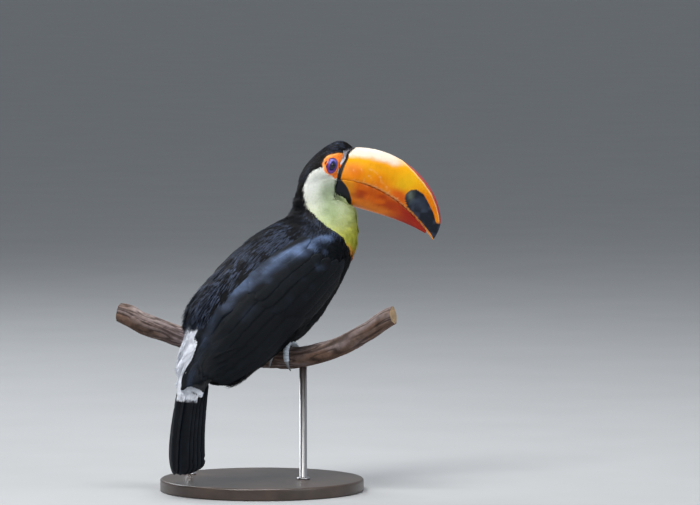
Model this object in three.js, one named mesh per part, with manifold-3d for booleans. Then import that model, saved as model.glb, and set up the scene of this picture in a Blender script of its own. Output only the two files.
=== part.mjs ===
// A toco toucan gripping a cut length of branch, held by a plain display stand.
// Millimetres, +Z up, the bird faces +X, and the origin is the centre of the base's underside.
import * as THREE from 'three';
import { mergeVertices } from 'three/addons/utils/BufferGeometryUtils.js';
import Module from 'manifold-3d';

const wasm = await Module();
wasm.setup();

// ---------------------------------------------------------------- driving dimensions
const GAP = 0.3;                       // clearance between neighbouring solids
const BIG = 900;                       // edge of the blocks that part the body

// Display stand
const BASE_RADIUS = 120;
const BASE_THICKNESS = 14;
const BASE_CHAMFER = 2;
const ROD_RADIUS = 4.5;
const ROD_SOCKET_DEPTH = 7;
const ROD_PLACES = [-100, 46];         // along the perch, from the point between the feet

// Perch: a bough that sags between two rising ends
const PERCH_CENTRE_X = 8;           // where the bird's middle plane crosses it
const PERCH_HEADING = -63;             // degrees from the bird's heading, seen from above
const PERCH_LINE = [                   // [distance along, height, radius]
  [-190, 203, 11.5], [-156, 191, 12.6], [-118, 179, 12.2], [-69, 167, 12.8], [-24, 159, 13.2],
  [20, 156.5, 13], [55, 160, 12], [90, 171.5, 11.4], [131, 193, 10.8], [160, 211, 10.4],
];
const PERCH_RINGS = 21;
const PERCH_SIDES = 12;
const KNOT = { along: -178, radius: 9, stub: 9, angle: 65 };

// Body: stations down the spine in the bird's middle plane, with the reach to the back,
// the reach to the breast and the half width of each section square to the spine
const BODY = {
  gullet: { x: 93, z: 364, back: 25, front: 27, half: 23 },
  nape: { x: 94, z: 343, back: 34, front: 29, half: 27.5 },
  neck: { x: 94, z: 321, back: 41, front: 44, half: 38 },
  collar: { x: 85, z: 297, back: 47, front: 51, half: 45 },
  shoulders: { x: 65, z: 273, back: 56, front: 57, half: 51 },
  breast: { x: 37, z: 249, back: 66, front: 63, half: 55 },
  middle: { x: 6, z: 221, back: 73, front: 61, half: 56 },
  belly: { x: -24, z: 191, back: 73, front: 46, half: 52 },
  flank: { x: -52, z: 165, back: 64, front: 34, half: 46 },
  vent: { x: -77, z: 147, back: 47, front: 25, half: 38 },
  tailRoot: { x: -98, z: 133, back: 27, front: 17, half: 31 },
  coverts: { x: -112, z: 116, back: 13, front: 10, half: 28 },
};
const BODY_RINGS = 27;
const BODY_SIDES = 22;
const CUTS = {                         // where the body is parted, as a point and a lean
  head: { x: 90, z: 345, lean: -6 },
  neck: { x: 78, z: 285, lean: 38 },
  rump: { x: -82, z: 168, lean: 62 },
  undertail: { x: -96, z: 138, lean: -66 },
};

// Head: its middle lies between the eyes; it is turned to the right and bowed a little
const HEAD_PLACE = [96, 0, 381];
const HEAD_TURN = -13;
const HEAD_BOW = 12;
const HEAD = [                         // [forward, up, rise, drop, half width]
  [-23, -22, 5, 8, 8], [-20, -20, 13, 18, 15], [-14, -16, 20, 24, 19.5], [-5, -11, 28, 30, 21.5],
  [6, -6, 32.5, 34, 21.5], [16, -3, 35.5, 37, 18.5], [27, -3, 34, 38, 15.5], [37, -4, 30, 36, 11.5],
  [44, -6, 22, 30, 5],
];
const HEAD_RINGS = 13;
const HEAD_SIDES = 20;
const EYE_RADIUS = 7.8;
const EYE_CENTRE = [0, 15.2, 0];       // forward, sideways, up

// Bill, in the head's own directions: [forward, up] of cubic curves
const CULMEN = [[12, 19], [98, 58], [192, -14], [164.5, -61.5]];
const TOMIUM = [[12, -14], [60, -14], [116, -28], [164, -61]];
const KEEL = [[12, -38], [56, -44], [108, -42], [152, -55.5]];
const LOWER_SHARE = 0.93;              // how far along the meeting line the lower half runs
const BILL_HALF_WIDTH = [21, 20.5, 18.5, 15.5, 12, 8, 4, 0.9];
const BILL_RINGS = 15;
const BILL_SIDES = 8;
const BILL_ROUNDNESS = 0.8;

// Wings, laid over the body from the wrist to the tip of the longest primary
const WING = {
  start: 0.27,                         // share of the spine where the wrist lies
  topEdge: { right: [64, 50, 43, 38, 34, 30, 25, 17], left: [64, 50, 43, 38, 36, 40, 50, 62] },
  lowEdge: [96, 113, 119, 119, 116, 112, 105, 92],
  thickness: 6.5,
  edge: 2.2,
  bury: 4,
  rings: 15,
  sides: 8,
};
const WING_ENDS = { right: 0.965, left: 0.9 };

// Tail: two halves that slope like a low roof, hanging from under the coverts
const TAIL_SPINE = [[-112, 150], [-121, 116], [-129, 72], [-132, 26]];
const TAIL_HALF = 32;
const TAIL_SLOPE = 25;
const TAIL_THICKNESS = [3.6, 1.6];     // at the middle and at the outer edge
const TAIL_ROUNDING = 0.11;            // how much shorter the outer edge is, as a share
const TAIL_RINGS = 8;
const TAIL_COLUMNS = 9;

// Legs and feet
const LEG_SPREAD = 21;                 // from the middle plane to each foot
const TARSUS = { radius: 4.2, rise: 30, back: 16 };
const TOE_RADIUS = 3.4;
const TOE_START = 9;
const TOE_SLIDE = 17;                  // how far a toe runs round the perch in one radian
const BARK_RISE = 1.07;                // the highest ripple of the perch's surface
const TOE_STEPS = 6;
const TOES = [                         // splay and arc in degrees, offset along the perch
  { forwards: true, splay: 12, arc: 96, offset: 5 },
  { forwards: true, splay: -13, arc: 88, offset: -5 },
  { forwards: false, splay: 8, arc: 100, offset: 4.5 },
  { forwards: false, splay: -13, arc: 82, offset: -5 },
];
const FOOT_PAD = { radius: 6.2, stretch: [1.15, 1.1, 0.66] };
const FOOT_ROOM = { reach: 17.5, margin: 11.3 };
const CLAW = { arc: 42, root: 2.5, tip: 0.6, steps: 5, clear: 2.4, spread: 0.05 };

// ---------------------------------------------------------------- materials
const finish = (color, roughness, metalness = 0) => new THREE.MeshStandardMaterial({
  color, roughness, metalness,
});
const FINISHES = {
  black: finish(0x15161b, 0.75),
  wing: finish(0x1d2430, 0.6),
  white: finish(0xe9e9e4, 0.8),
  bib: finish(0xf1efc9, 0.8),
  red: finish(0xb3201c, 0.8),
  bill: finish(0xf59a16, 0.3),
  lowerBill: finish(0xd9541a, 0.3),
  eye: finish(0x1a1430, 0.12),
  leg: finish(0x77828c, 0.6),
  claw: finish(0x2e2f33, 0.45),
  bark: finish(0x5d4a40, 0.9),
  base: finish(0x2f2a27, 0.45),
  rod: finish(0x9a9da1, 0.35, 0.9),
};

// ---------------------------------------------------------------- geometry helpers
const radians = THREE.MathUtils.degToRad;
const lerp = THREE.MathUtils.lerp;

// Catmull-Rom through rows of numbers, for a share from 0 to 1
function sampleRows(rows, share) {
  const place = THREE.MathUtils.clamp(share, 0, 1) * (rows.length - 1);
  const i = Math.min(Math.floor(place), rows.length - 2);
  const t = place - i;
  const row = (k) => rows[THREE.MathUtils.clamp(k, 0, rows.length - 1)];
  return rows[0].map((_, c) => {
    const [a, b, d, e] = [row(i - 1)[c], row(i)[c], row(i + 1)[c], row(i + 2)[c]];
    const bend = (2 * a - 5 * b + 4 * d - e) * t * t + (3 * b - a - 3 * d + e) * t * t * t;
    return 0.5 * (2 * b + (d - a) * t + bend);
  });
}

// A cubic curve through the plane of [forward, up]
function sampleCubic([p0, p1, p2, p3], t) {
  const s = 1 - t;
  const weight = [s * s * s, 3 * s * s * t, 3 * s * t * t, t * t * t];
  const points = [p0, p1, p2, p3];
  return [0, 1].map((c) => points.reduce((sum, p, i) => sum + weight[i] * p[c], 0));
}

// A closed solid over a list of rings of equal count, each ring capped at its middle
function loft(rings) {
  const sides = rings[0].length;
  const points = rings.flat();
  const middle = (ring) => ring.reduce((sum, p) => sum.add(p), new THREE.Vector3()).divideScalar(sides);
  const first = points.push(middle(rings[0])) - 1;
  const last = points.push(middle(rings[rings.length - 1])) - 1;
  const index = [];
  for (let r = 0; r < rings.length - 1; r += 1) {
    for (let s = 0; s < sides; s += 1) {
      const a = r * sides + s;
      const b = r * sides + ((s + 1) % sides);
      index.push(a, b, b + sides, a, b + sides, a + sides);
    }
  }
  const end = (rings.length - 1) * sides;
  for (let s = 0; s < sides; s += 1) {
    const next = (s + 1) % sides;
    index.push(first, next, s, last, end + s, end + next);
  }
  const geometry = new THREE.BufferGeometry();
  const numbers = points.flatMap((p) => p.toArray());
  geometry.setAttribute('position', new THREE.Float32BufferAttribute(numbers, 3));
  geometry.setIndex(index);
  return facingOut(geometry);
}

// Turns every triangle round when the solid's volume comes out negative
function facingOut(geometry) {
  const p = geometry.attributes.position;
  const index = geometry.index.array;
  const [a, b, c] = [new THREE.Vector3(), new THREE.Vector3(), new THREE.Vector3()];
  let volume = 0;
  for (let i = 0; i < index.length; i += 3) {
    a.fromBufferAttribute(p, index[i]);
    b.fromBufferAttribute(p, index[i + 1]);
    c.fromBufferAttribute(p, index[i + 2]);
    volume += a.dot(b.cross(c));
  }
  if (volume < 0) {
    const turned = Array.from(index);
    for (let i = 0; i < turned.length; i += 3) {
      [turned[i + 1], turned[i + 2]] = [turned[i + 2], turned[i + 1]];
    }
    geometry.setIndex(turned);
  }
  return geometry;
}

function toSolid(geometry, matrix = new THREE.Matrix4()) {
  const bare = geometry.clone().applyMatrix4(matrix);
  bare.deleteAttribute('normal');
  bare.deleteAttribute('uv');
  const merged = mergeVertices(bare, 1e-4);
  return new wasm.Manifold(new wasm.Mesh({
    numProp: 3,
    vertProperties: new Float32Array(merged.attributes.position.array),
    triVerts: new Uint32Array(merged.index.array),
  }));
}

function toGeometry(solid) {
  const mesh = solid.getMesh();
  const geometry = new THREE.BufferGeometry();
  geometry.setAttribute('position', new THREE.Float32BufferAttribute(mesh.vertProperties, 3));
  geometry.setIndex(Array.from(mesh.triVerts));
  return geometry;
}

// A round tube through a list of points, with a radius at each
function tubeSolid(points, radii, sides) {
  const rings = points.map((point, i) => {
    const before = points[Math.max(i - 1, 0)];
    const after = points[Math.min(i + 1, points.length - 1)];
    const along = after.clone().sub(before).normalize();
    const side = new THREE.Vector3(1, 0, 0).cross(along);
    if (side.length() < 0.3) side.set(0, 1, 0).cross(along);
    side.normalize();
    const up = along.clone().cross(side);
    return Array.from({ length: sides }, (_, s) => {
      const angle = (2 * Math.PI * s) / sides;
      return point.clone()
        .addScaledVector(side, radii[i] * Math.cos(angle))
        .addScaledVector(up, radii[i] * Math.sin(angle));
    });
  });
  return toSolid(loft(rings));
}

const model = new THREE.Group();
function addPart(name, solid, material) {
  const mesh = new THREE.Mesh(toGeometry(solid), material);
  mesh.name = name;
  model.add(mesh);
}

// ---------------------------------------------------------------- perch
const perchHeading = new THREE.Vector3(1, 0, 0)
  .applyAxisAngle(new THREE.Vector3(0, 0, 1), radians(PERCH_HEADING));

// The perch's centre and radius at a distance along it
function perchAt(along) {
  const rows = PERCH_LINE;
  let i = rows.findIndex((row) => row[0] >= along);
  i = THREE.MathUtils.clamp(i, 1, rows.length - 1);
  const within = (along - rows[i - 1][0]) / (rows[i][0] - rows[i - 1][0]);
  const [, height, radius] = sampleRows(rows, (i - 1 + within) / (rows.length - 1));
  const centre = new THREE.Vector3(PERCH_CENTRE_X, 0, height).addScaledVector(perchHeading, along);
  return { centre, radius };
}

// A ring of the perch square to its run, grown by a margin
function perchRing(along, sides, grow) {
  const { centre, radius } = perchAt(along);
  const run = perchAt(along + 1).centre.sub(perchAt(along - 1).centre).normalize();
  const side = run.clone().cross(new THREE.Vector3(0, 0, 1)).normalize();
  const up = side.clone().cross(run).normalize();
  return Array.from({ length: sides }, (_, s) => {
    const angle = (2 * Math.PI * s) / sides;
    const swell = 0.045 * Math.sin(3 * angle + along * 0.05);
    const ripple = 1 + swell + 0.03 * Math.sin(5 * angle - along * 0.09);
    const reach = radius * ripple + grow;
    return centre.clone()
      .addScaledVector(side, reach * Math.cos(angle))
      .addScaledVector(up, reach * Math.sin(angle));
  });
}

function perchSolid(grow = 0) {
  const start = PERCH_LINE[0][0];
  const end = PERCH_LINE[PERCH_LINE.length - 1][0];
  const rings = Array.from({ length: PERCH_RINGS }, (_, i) => {
    const along = lerp(start, end, i / (PERCH_RINGS - 1));
    return perchRing(along, PERCH_SIDES, grow);
  });
  return toSolid(loft(rings));
}

function knotSolid() {
  const { centre, radius } = perchAt(KNOT.along);
  const out = new THREE.Vector3(0, 0, 1).applyAxisAngle(perchHeading, radians(KNOT.angle));
  const reach = [0, radius, radius + KNOT.stub];
  const points = reach.map((r) => centre.clone().addScaledVector(out, r));
  return tubeSolid(points, [KNOT.radius, KNOT.radius, KNOT.radius * 0.62], 9);
}

// ---------------------------------------------------------------- body
const bodyRows = Object.values(BODY).map((s) => [s.x, s.z, s.back, s.front, s.half]);

// A point of the body's surface: share down the spine, angle from the back towards the
// right side (negative for the left), and distance outside the surface
function bodyPoint(share, angle, grow) {
  const [x, z, back, front, half] = sampleRows(bodyRows, share);
  const ahead = sampleRows(bodyRows, Math.min(share + 0.01, 1));
  const behind = sampleRows(bodyRows, Math.max(share - 0.01, 0));
  const spine = new THREE.Vector3(ahead[0] - behind[0], 0, ahead[1] - behind[1]).normalize();
  const dorsal = new THREE.Vector3(spine.z, 0, -spine.x);
  const up = Math.cos(radians(angle));
  const out = Math.sin(radians(angle));
  const reach = (up > 0 ? back : front) + grow;
  return new THREE.Vector3(x, 0, z)
    .addScaledVector(dorsal, up * reach)
    .add(new THREE.Vector3(0, -out * (half + grow), 0));
}

function bodySolid(grow = 0) {
  const rings = Array.from({ length: BODY_RINGS }, (_, r) => (
    Array.from({ length: BODY_SIDES }, (__, s) => (
      bodyPoint(r / (BODY_RINGS - 1), (360 * s) / BODY_SIDES, grow)
    ))
  ));
  return toSolid(loft(rings));
}

// ---------------------------------------------------------------- head and bill
const headMatrix = new THREE.Matrix4().compose(
  new THREE.Vector3(...HEAD_PLACE),
  new THREE.Quaternion().setFromEuler(new THREE.Euler(0, radians(HEAD_BOW), radians(HEAD_TURN), 'ZYX')),
  new THREE.Vector3(1, 1, 1),
);

function headSolid() {
  const rings = Array.from({ length: HEAD_RINGS }, (_, r) => {
    const [forward, up, rise, drop, half] = sampleRows(HEAD, r / (HEAD_RINGS - 1));
    return Array.from({ length: HEAD_SIDES }, (__, s) => {
      const angle = (2 * Math.PI * s) / HEAD_SIDES;
      const lift = Math.cos(angle) > 0 ? rise : drop;
      return new THREE.Vector3(forward, half * Math.sin(angle), up + lift * Math.cos(angle));
    });
  });
  return toSolid(loft(rings), headMatrix);
}

const billWidth = BILL_HALF_WIDTH.map((w) => [w]);

// One half of the bill between the line where the halves meet and its outer edge
function billRings(edge, share, grow) {
  return Array.from({ length: BILL_RINGS }, (_, r) => {
    const t = r / (BILL_RINGS - 1);
    const [inForward, inUp] = sampleCubic(TOMIUM, t * share);
    const [outForward, outUp] = sampleCubic(edge, t);
    const direction = new THREE.Vector3(outForward - inForward, 0, outUp - inUp);
    const depth = Math.max(direction.length(), 0.8);
    direction.normalize();
    const width = sampleRows(billWidth, t)[0] + grow;
    const base = new THREE.Vector3(inForward, 0, inUp).addScaledVector(direction, GAP / 2 - grow);
    return Array.from({ length: 2 * BILL_SIDES }, (__, s) => {
      const turn = (Math.PI * s) / (2 * BILL_SIDES - 1);
      const rise = Math.sin(turn) ** BILL_ROUNDNESS;
      const side = Math.cos(turn);
      return base.clone()
        .addScaledVector(direction, rise * (depth + 2 * grow))
        .add(new THREE.Vector3(0, side * width, 0));
    });
  });
}

const upperBill = (grow = 0) => toSolid(loft(billRings(CULMEN, 1, grow)), headMatrix);
const lowerBill = (grow = 0) => toSolid(loft(billRings(KEEL, LOWER_SHARE, grow)), headMatrix);

function eyeSolid(side, grow = 0) {
  const ball = new THREE.SphereGeometry(EYE_RADIUS + grow, 12, 8);
  const [forward, sideways, up] = EYE_CENTRE;
  const place = new THREE.Matrix4().makeTranslation(forward, side * sideways, up);
  return toSolid(ball, headMatrix.clone().multiply(place));
}

// ---------------------------------------------------------------- wings
function wingSolid(name, side) {
  const top = WING.topEdge[name].map((v) => [v]);
  const low = WING.lowEdge.map((v) => [v]);
  const end = WING_ENDS[name];
  const rings = Array.from({ length: WING.rings }, (_, r) => {
    const t = r / (WING.rings - 1);
    const share = lerp(WING.start, end, t);
    const from = sampleRows(top, t)[0];
    const to = sampleRows(low, t)[0];
    const swell = WING.thickness * Math.sin(Math.PI * (0.12 + 0.76 * t)) ** 0.7;
    const outer = Array.from({ length: WING.sides }, (__, s) => {
      const across = s / (WING.sides - 1);
      const height = WING.edge + swell * Math.sin(Math.PI * across) ** 0.6;
      return bodyPoint(share, -side * lerp(from, to, across), height);
    });
    const inner = outer.map((__, s) => {
      const across = 1 - s / (WING.sides - 1);
      return bodyPoint(share, -side * lerp(from, to, across), -WING.bury);
    });
    return [...outer, ...inner];
  });
  return toSolid(loft(rings));
}

// ---------------------------------------------------------------- tail
function tailSolid() {
  const rings = Array.from({ length: TAIL_RINGS }, (_, r) => {
    const t = r / (TAIL_RINGS - 1);
    const place = (k) => {
      const across = (2 * k) / (TAIL_COLUMNS - 1) - 1;
      const length = t * (1 - TAIL_ROUNDING * Math.abs(across) ** 2.4);
      const [x, z] = sampleRows(TAIL_SPINE, length);
      const half = TAIL_HALF * lerp(0.86, 1, t);
      const thick = lerp(TAIL_THICKNESS[0], TAIL_THICKNESS[1], Math.abs(across));
      const drop = Math.abs(across) * half * Math.sin(radians(TAIL_SLOPE));
      return { x: x + drop, y: across * half * Math.cos(radians(TAIL_SLOPE)), z, thick };
    };
    const columns = Array.from({ length: TAIL_COLUMNS }, (__, k) => place(k));
    const outer = columns.map((c) => new THREE.Vector3(c.x - c.thick / 2, c.y, c.z));
    const inner = columns.map((c) => new THREE.Vector3(c.x + c.thick / 2, c.y, c.z)).reverse();
    return [...outer, ...inner];
  });
  return toSolid(loft(rings));
}

// ---------------------------------------------------------------- legs
const footAlong = (side) => side * LEG_SPREAD / perchHeading.y;

// A toe or claw that follows the perch's surface from its top
function roundPerch(side, { forwards, splay, offset }, from, to, steps, lift) {
  const forward = new THREE.Vector3(0, 0, 1).cross(perchHeading).multiplyScalar(forwards ? 1 : -1);
  return Array.from({ length: steps }, (_, i) => {
    const angle = radians(lerp(from, to, i / (steps - 1)));
    const slide = offset + Math.tan(radians(splay)) * TOE_SLIDE * angle;
    const { centre, radius } = perchAt(footAlong(side) + slide);
    const reach = radius * BARK_RISE + lift;
    return centre
      .addScaledVector(forward, reach * Math.sin(angle))
      .addScaledVector(new THREE.Vector3(0, 0, 1), reach * Math.cos(angle));
  });
}

// The place on top of the perch where a foot stands, at a height above the bark
const footTop = (side, lift) => roundPerch(side, TOES[0], 0, 1, 2, lift)[0]
  .addScaledVector(perchHeading, -TOES[0].offset);

// Two long tubes, each a front toe and the rear toe behind it, joined by a pad
function footSolid(side) {
  const lift = TOE_RADIUS + GAP;
  const pairs = [[TOES[0], TOES[2]], [TOES[1], TOES[3]]].map(([front, rear]) => {
    const [ahead, behind] = [front, rear].map((toe) => (
      roundPerch(side, toe, TOE_START, toe.arc, TOE_STEPS, lift)
    ));
    const radii = ahead.map((_, i) => TOE_RADIUS * lerp(1, 0.8, i / (TOE_STEPS - 1)));
    return tubeSolid([...ahead.reverse(), ...behind], [...radii.slice().reverse(), ...radii], 6);
  });
  const top = footTop(side, lift);
  const pad = new THREE.SphereGeometry(FOOT_PAD.radius, 9, 6);
  pad.applyMatrix4(new THREE.Matrix4().makeScale(...FOOT_PAD.stretch));
  const pads = toSolid(pad, new THREE.Matrix4().makeTranslation(top.x, top.y, top.z + 1));
  return pairs.reduce((sum, pair) => sum.add(pair), pads);
}

function clawSolid(side, toe) {
  const start = toe.arc + CLAW.clear;
  const points = roundPerch(side, toe, start, start + CLAW.arc, CLAW.steps, TOE_RADIUS + GAP);
  const { centre } = perchAt(footAlong(side));
  const share = (i) => i / (CLAW.steps - 1);
  points.forEach((p, i) => p.lerp(centre, -CLAW.spread * share(i) ** 2));
  return tubeSolid(points, points.map((_, i) => lerp(CLAW.root, CLAW.tip, share(i))), 6);
}

function tarsusSolid(side, grow = 0) {
  const foot = footTop(side, TOE_RADIUS + 1);
  const heel = foot.clone().add(new THREE.Vector3(-TARSUS.back, 0, TARSUS.rise));
  const points = [0, 0.33, 0.66, 1 + grow / TARSUS.rise].map((t) => foot.clone().lerp(heel, t));
  return tubeSolid(points, [1.1, 0.95, 0.95, 1.05].map((k) => k * TARSUS.radius + grow), 9);
}

// The room that a foot takes up on the perch
function footRoom(side) {
  const along = footAlong(side);
  const reach = [-FOOT_ROOM.reach, -FOOT_ROOM.reach / 3, FOOT_ROOM.reach / 3, FOOT_ROOM.reach];
  const points = reach.map((step) => perchAt(along + step).centre);
  const radii = reach.map((step) => perchAt(along + step).radius + FOOT_ROOM.margin);
  return tubeSolid(points, radii, 12);
}

// ---------------------------------------------------------------- display stand
function rodSolid(along, grow = 0) {
  const { centre } = perchAt(along);
  const foot = BASE_THICKNESS - ROD_SOCKET_DEPTH - grow;
  const length = centre.z - foot;
  const rod = new THREE.CylinderGeometry(ROD_RADIUS + grow, ROD_RADIUS + grow, length, 16);
  rod.rotateX(Math.PI / 2);
  return toSolid(rod, new THREE.Matrix4().makeTranslation(centre.x, centre.y, foot + length / 2));
}

function baseSolid() {
  const profile = [
    [0, 0], [BASE_RADIUS - BASE_CHAMFER / 2, 0], [BASE_RADIUS, BASE_CHAMFER / 2],
    [BASE_RADIUS, BASE_THICKNESS - BASE_CHAMFER], [BASE_RADIUS - BASE_CHAMFER, BASE_THICKNESS],
    [0, BASE_THICKNESS],
  ].map(([x, y]) => new THREE.Vector2(x, y));
  const disc = new THREE.LatheGeometry(profile, 36);
  disc.rotateX(Math.PI / 2);
  const rods = ROD_PLACES.map((along) => rodSolid(along, GAP));
  return rods.reduce((base, rod) => base.subtract(rod), toSolid(facingOut(mergeVertices(disc))));
}

// ---------------------------------------------------------------- assembly
// A block that fills everything below a leaning plane in the middle plane's terms
function blockBelow({ x, z, lean }, lift) {
  const block = new THREE.BoxGeometry(BIG, BIG, BIG);
  const turn = new THREE.Matrix4().makeRotationY(radians(lean));
  const drop = new THREE.Matrix4().makeTranslation(0, 0, lift - BIG / 2);
  const place = new THREE.Matrix4().makeTranslation(x, 0, z);
  return toSolid(block, place.multiply(turn).multiply(drop));
}

const perch = perchSolid().add(knotSolid());
const perchRoom = perchSolid(GAP + 0.2);
const sides = { right: -1, left: 1 };

let body = bodySolid().add(headSolid());
for (const side of Object.values(sides)) {
  body = body.subtract(eyeSolid(side, GAP)).subtract(footRoom(side)).subtract(tarsusSolid(side, GAP));
}
body = body.subtract(upperBill(GAP)).subtract(lowerBill(GAP)).subtract(perchRoom);

const headPart = body.subtract(blockBelow(CUTS.head, GAP));
const belowHead = body.intersect(blockBelow(CUTS.head, 0));
const neckPart = belowHead.subtract(blockBelow(CUTS.neck, GAP));
const belowNeck = belowHead.intersect(blockBelow(CUTS.neck, 0));
const trunkPart = belowNeck.subtract(blockBelow(CUTS.rump, GAP));
const behindTrunk = belowNeck.intersect(blockBelow(CUTS.rump, 0));
const rumpPart = behindTrunk.subtract(blockBelow(CUTS.undertail, GAP));
const undertailPart = behindTrunk.intersect(blockBelow(CUTS.undertail, 0));

addPart('head', headPart, FINISHES.black);
addPart('neck', neckPart, FINISHES.bib);
addPart('trunk', trunkPart, FINISHES.black);
addPart('rump', rumpPart, FINISHES.white);
addPart('undertail', undertailPart, FINISHES.red);
addPart('bill_upper', upperBill(), FINISHES.bill);
addPart('bill_lower', lowerBill(), FINISHES.lowerBill);
addPart('tail', tailSolid().subtract(bodySolid(GAP)), FINISHES.black);
for (const [name, side] of Object.entries(sides)) {
  addPart(`eye_${name}`, eyeSolid(side), FINISHES.eye);
  const wing = wingSolid(name, side).subtract(bodySolid(GAP)).subtract(perchRoom);
  const foot = footSolid(side).subtract(tarsusSolid(side, GAP));
  addPart(`wing_${name}`, wing, FINISHES.wing);
  addPart(`tarsus_${name}`, tarsusSolid(side), FINISHES.leg);
  addPart(`foot_${name}`, foot, FINISHES.leg);
  TOES.forEach((toe, i) => {
    addPart(`claw_${name}_${i + 1}`, clawSolid(side, toe).subtract(perchRoom), FINISHES.claw);
  });
}
addPart('perch', perch, FINISHES.bark);
addPart('stand_base', baseSolid(), FINISHES.base);
ROD_PLACES.forEach((along, i) => {
  addPart(`stand_rod_${i + 1}`, rodSolid(along).subtract(perchRoom), FINISHES.rod);
});

export default model;
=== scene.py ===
"""A life-size toucan on a cut bough, held by a plain display stand.

Lengths are in millimetres and turn into metres where a mesh is made. +X is the way
the bird's body faces, +Y is to its left and +Z is up. Angles round the body count
from its back, towards its right side.
"""

import logging
import math
from collections.abc import Callable, Sequence
from dataclasses import dataclass, field
from enum import Enum

import bmesh
import bpy
import numpy as np
from mathutils import Matrix, Vector
from mathutils.bvhtree import BVHTree


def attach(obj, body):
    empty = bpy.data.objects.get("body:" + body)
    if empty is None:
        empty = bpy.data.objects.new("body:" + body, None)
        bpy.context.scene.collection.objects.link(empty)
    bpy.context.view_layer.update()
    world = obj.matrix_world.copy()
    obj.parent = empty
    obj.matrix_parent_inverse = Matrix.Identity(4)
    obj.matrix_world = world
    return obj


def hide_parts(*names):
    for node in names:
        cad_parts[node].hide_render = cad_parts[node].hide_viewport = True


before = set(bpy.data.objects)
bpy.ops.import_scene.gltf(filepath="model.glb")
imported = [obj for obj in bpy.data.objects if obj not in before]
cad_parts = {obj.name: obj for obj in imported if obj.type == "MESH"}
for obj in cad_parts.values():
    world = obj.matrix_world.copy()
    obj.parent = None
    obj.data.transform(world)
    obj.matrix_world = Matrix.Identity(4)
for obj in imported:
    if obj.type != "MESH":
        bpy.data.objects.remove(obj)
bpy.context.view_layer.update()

log = logging.getLogger("toucan")
Array = np.ndarray
Colour = tuple[float, float, float]
MM = 0.001
BAKE_MAP = "OFBake"
COLOUR_LAYER = "plume"
VANE_MAP = "Vane"
BARB_SLANT = -0.16
TUFT_PATCH = 0.003
BLADE_RIDGE = 0.2
HASH = (73856093, 19349663, 83492791)

# Landmarks: the height where the head begins, and shares down the body's spine.
HEAD_FROM = 345.0
WING_FROM = 0.26
RUMP_FROM = 0.722

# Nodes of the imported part.
EYES = ("eye_right", "eye_left")
BILLS = ("bill_upper", "bill_lower")
WINGS = ("wing_right", "wing_left")
LEGS = ("tarsus_right", "tarsus_left", "foot_right", "foot_left")


# ---- numbers
def unit(v: Array) -> Array:
    """Return vectors scaled to length one along their last axis."""
    return v / np.maximum(np.linalg.norm(v, axis=-1, keepdims=True), 1e-9)


def ease(low: float | Array, high: float | Array, x: Array) -> Array:
    """Return a smooth step from 0 at low to 1 at high."""
    t = np.clip((x - low) / (np.asarray(high) - low), 0.0, 1.0)
    return t * t * (3.0 - 2.0 * t)


def mix(a: Array | Colour, b: Array | Colour, share: Array | float) -> Array:
    """Return the mix of two colours or vectors, or rows of them, by a share for each row."""
    start = np.asarray(a, float)
    return start + (np.asarray(b, float) - start) * np.asarray(share)[..., None]


def circle(count: int) -> Array:
    """Return evenly spread angles once round, in radians."""
    return np.linspace(0.0, 2.0 * math.pi, count, endpoint=False)


def pairings(a: Array, b: Array) -> tuple[Array, Array]:
    """Return every pairing of two rows of numbers, as two flat rows."""
    first, second = np.meshgrid(a, b, indexing="ij")
    return first.ravel(), second.ravel()


def catmull(rows: Array, share: Array) -> Array:
    """Sample a smooth curve through rows of numbers.

    Args:
        rows: The rows that the curve passes through.
        share: Places along the curve, from 0 to 1.

    Returns:
        One row for each share.
    """
    last = len(rows) - 1
    place = np.clip(share, 0.0, 1.0) * last
    i = np.minimum(place.astype(int), last - 1)
    t = (place - i)[:, None]
    a, b, d, e = (rows[np.clip(i + k, 0, last)] for k in (-1, 0, 1, 2))
    bend = (2 * a - 5 * b + 4 * d - e) * t * t + (3 * b - a - 3 * d + e) * t**3
    return 0.5 * (2 * b + (d - a) * t + bend)


def cubic(points: Sequence[Sequence[float]], t: Array) -> Array:
    """Sample a cubic curve in the head's middle plane.

    Args:
        points: Its four control points as [forward, up].
        t: Places along it, from 0 to 1.

    Returns:
        One [forward, up] row for each place.
    """
    s = 1.0 - t
    weights = np.stack([s**3, 3 * s * s * t, 3 * s * t * t, t**3], axis=1)
    return weights @ np.array(points, float)


def scramble(cells: Array) -> Array:
    """Return one well mixed whole number for each row of three."""
    return cells[:, 0] * HASH[0] ^ cells[:, 1] * HASH[1] ^ cells[:, 2] * HASH[2]


def mottle(points: Array, cell: float, seed: int = 0) -> Array:
    """Return smooth random values from -1 to 1.

    Args:
        points: Places in space.
        cell: The size of one patch, in the unit of the points.
        seed: Picks another pattern.

    Returns:
        One value for each point.
    """
    q = points / cell
    base = np.floor(q).astype(np.int64)
    f = q - base
    f = f * f * (3.0 - 2.0 * f)
    total = np.zeros(len(points))
    for corner in range(8):
        step = np.array([corner & 1, corner >> 1 & 1, corner >> 2 & 1])
        k = base + step
        h = scramble(k) ^ seed * 97531
        h = (h ^ h >> 13) * 1274126177 & 0x7FFFFFFF
        h = (h ^ h >> 11) & 0xFFFF
        total += np.prod(np.where(step, f, 1.0 - f), axis=1) * (h / 32767.5 - 1.0)
    return total


# ---- finishes
class Grain(Enum):
    """The kinds of fine relief that a finish can carry."""

    PORES = "pores"
    STREAKS = "streaks"
    BARBS = "barbs"
    SCRATCHES = "scratches"
    BARK = "bark"
    LATHED = "lathed"
    TIMBER = "timber"


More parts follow.
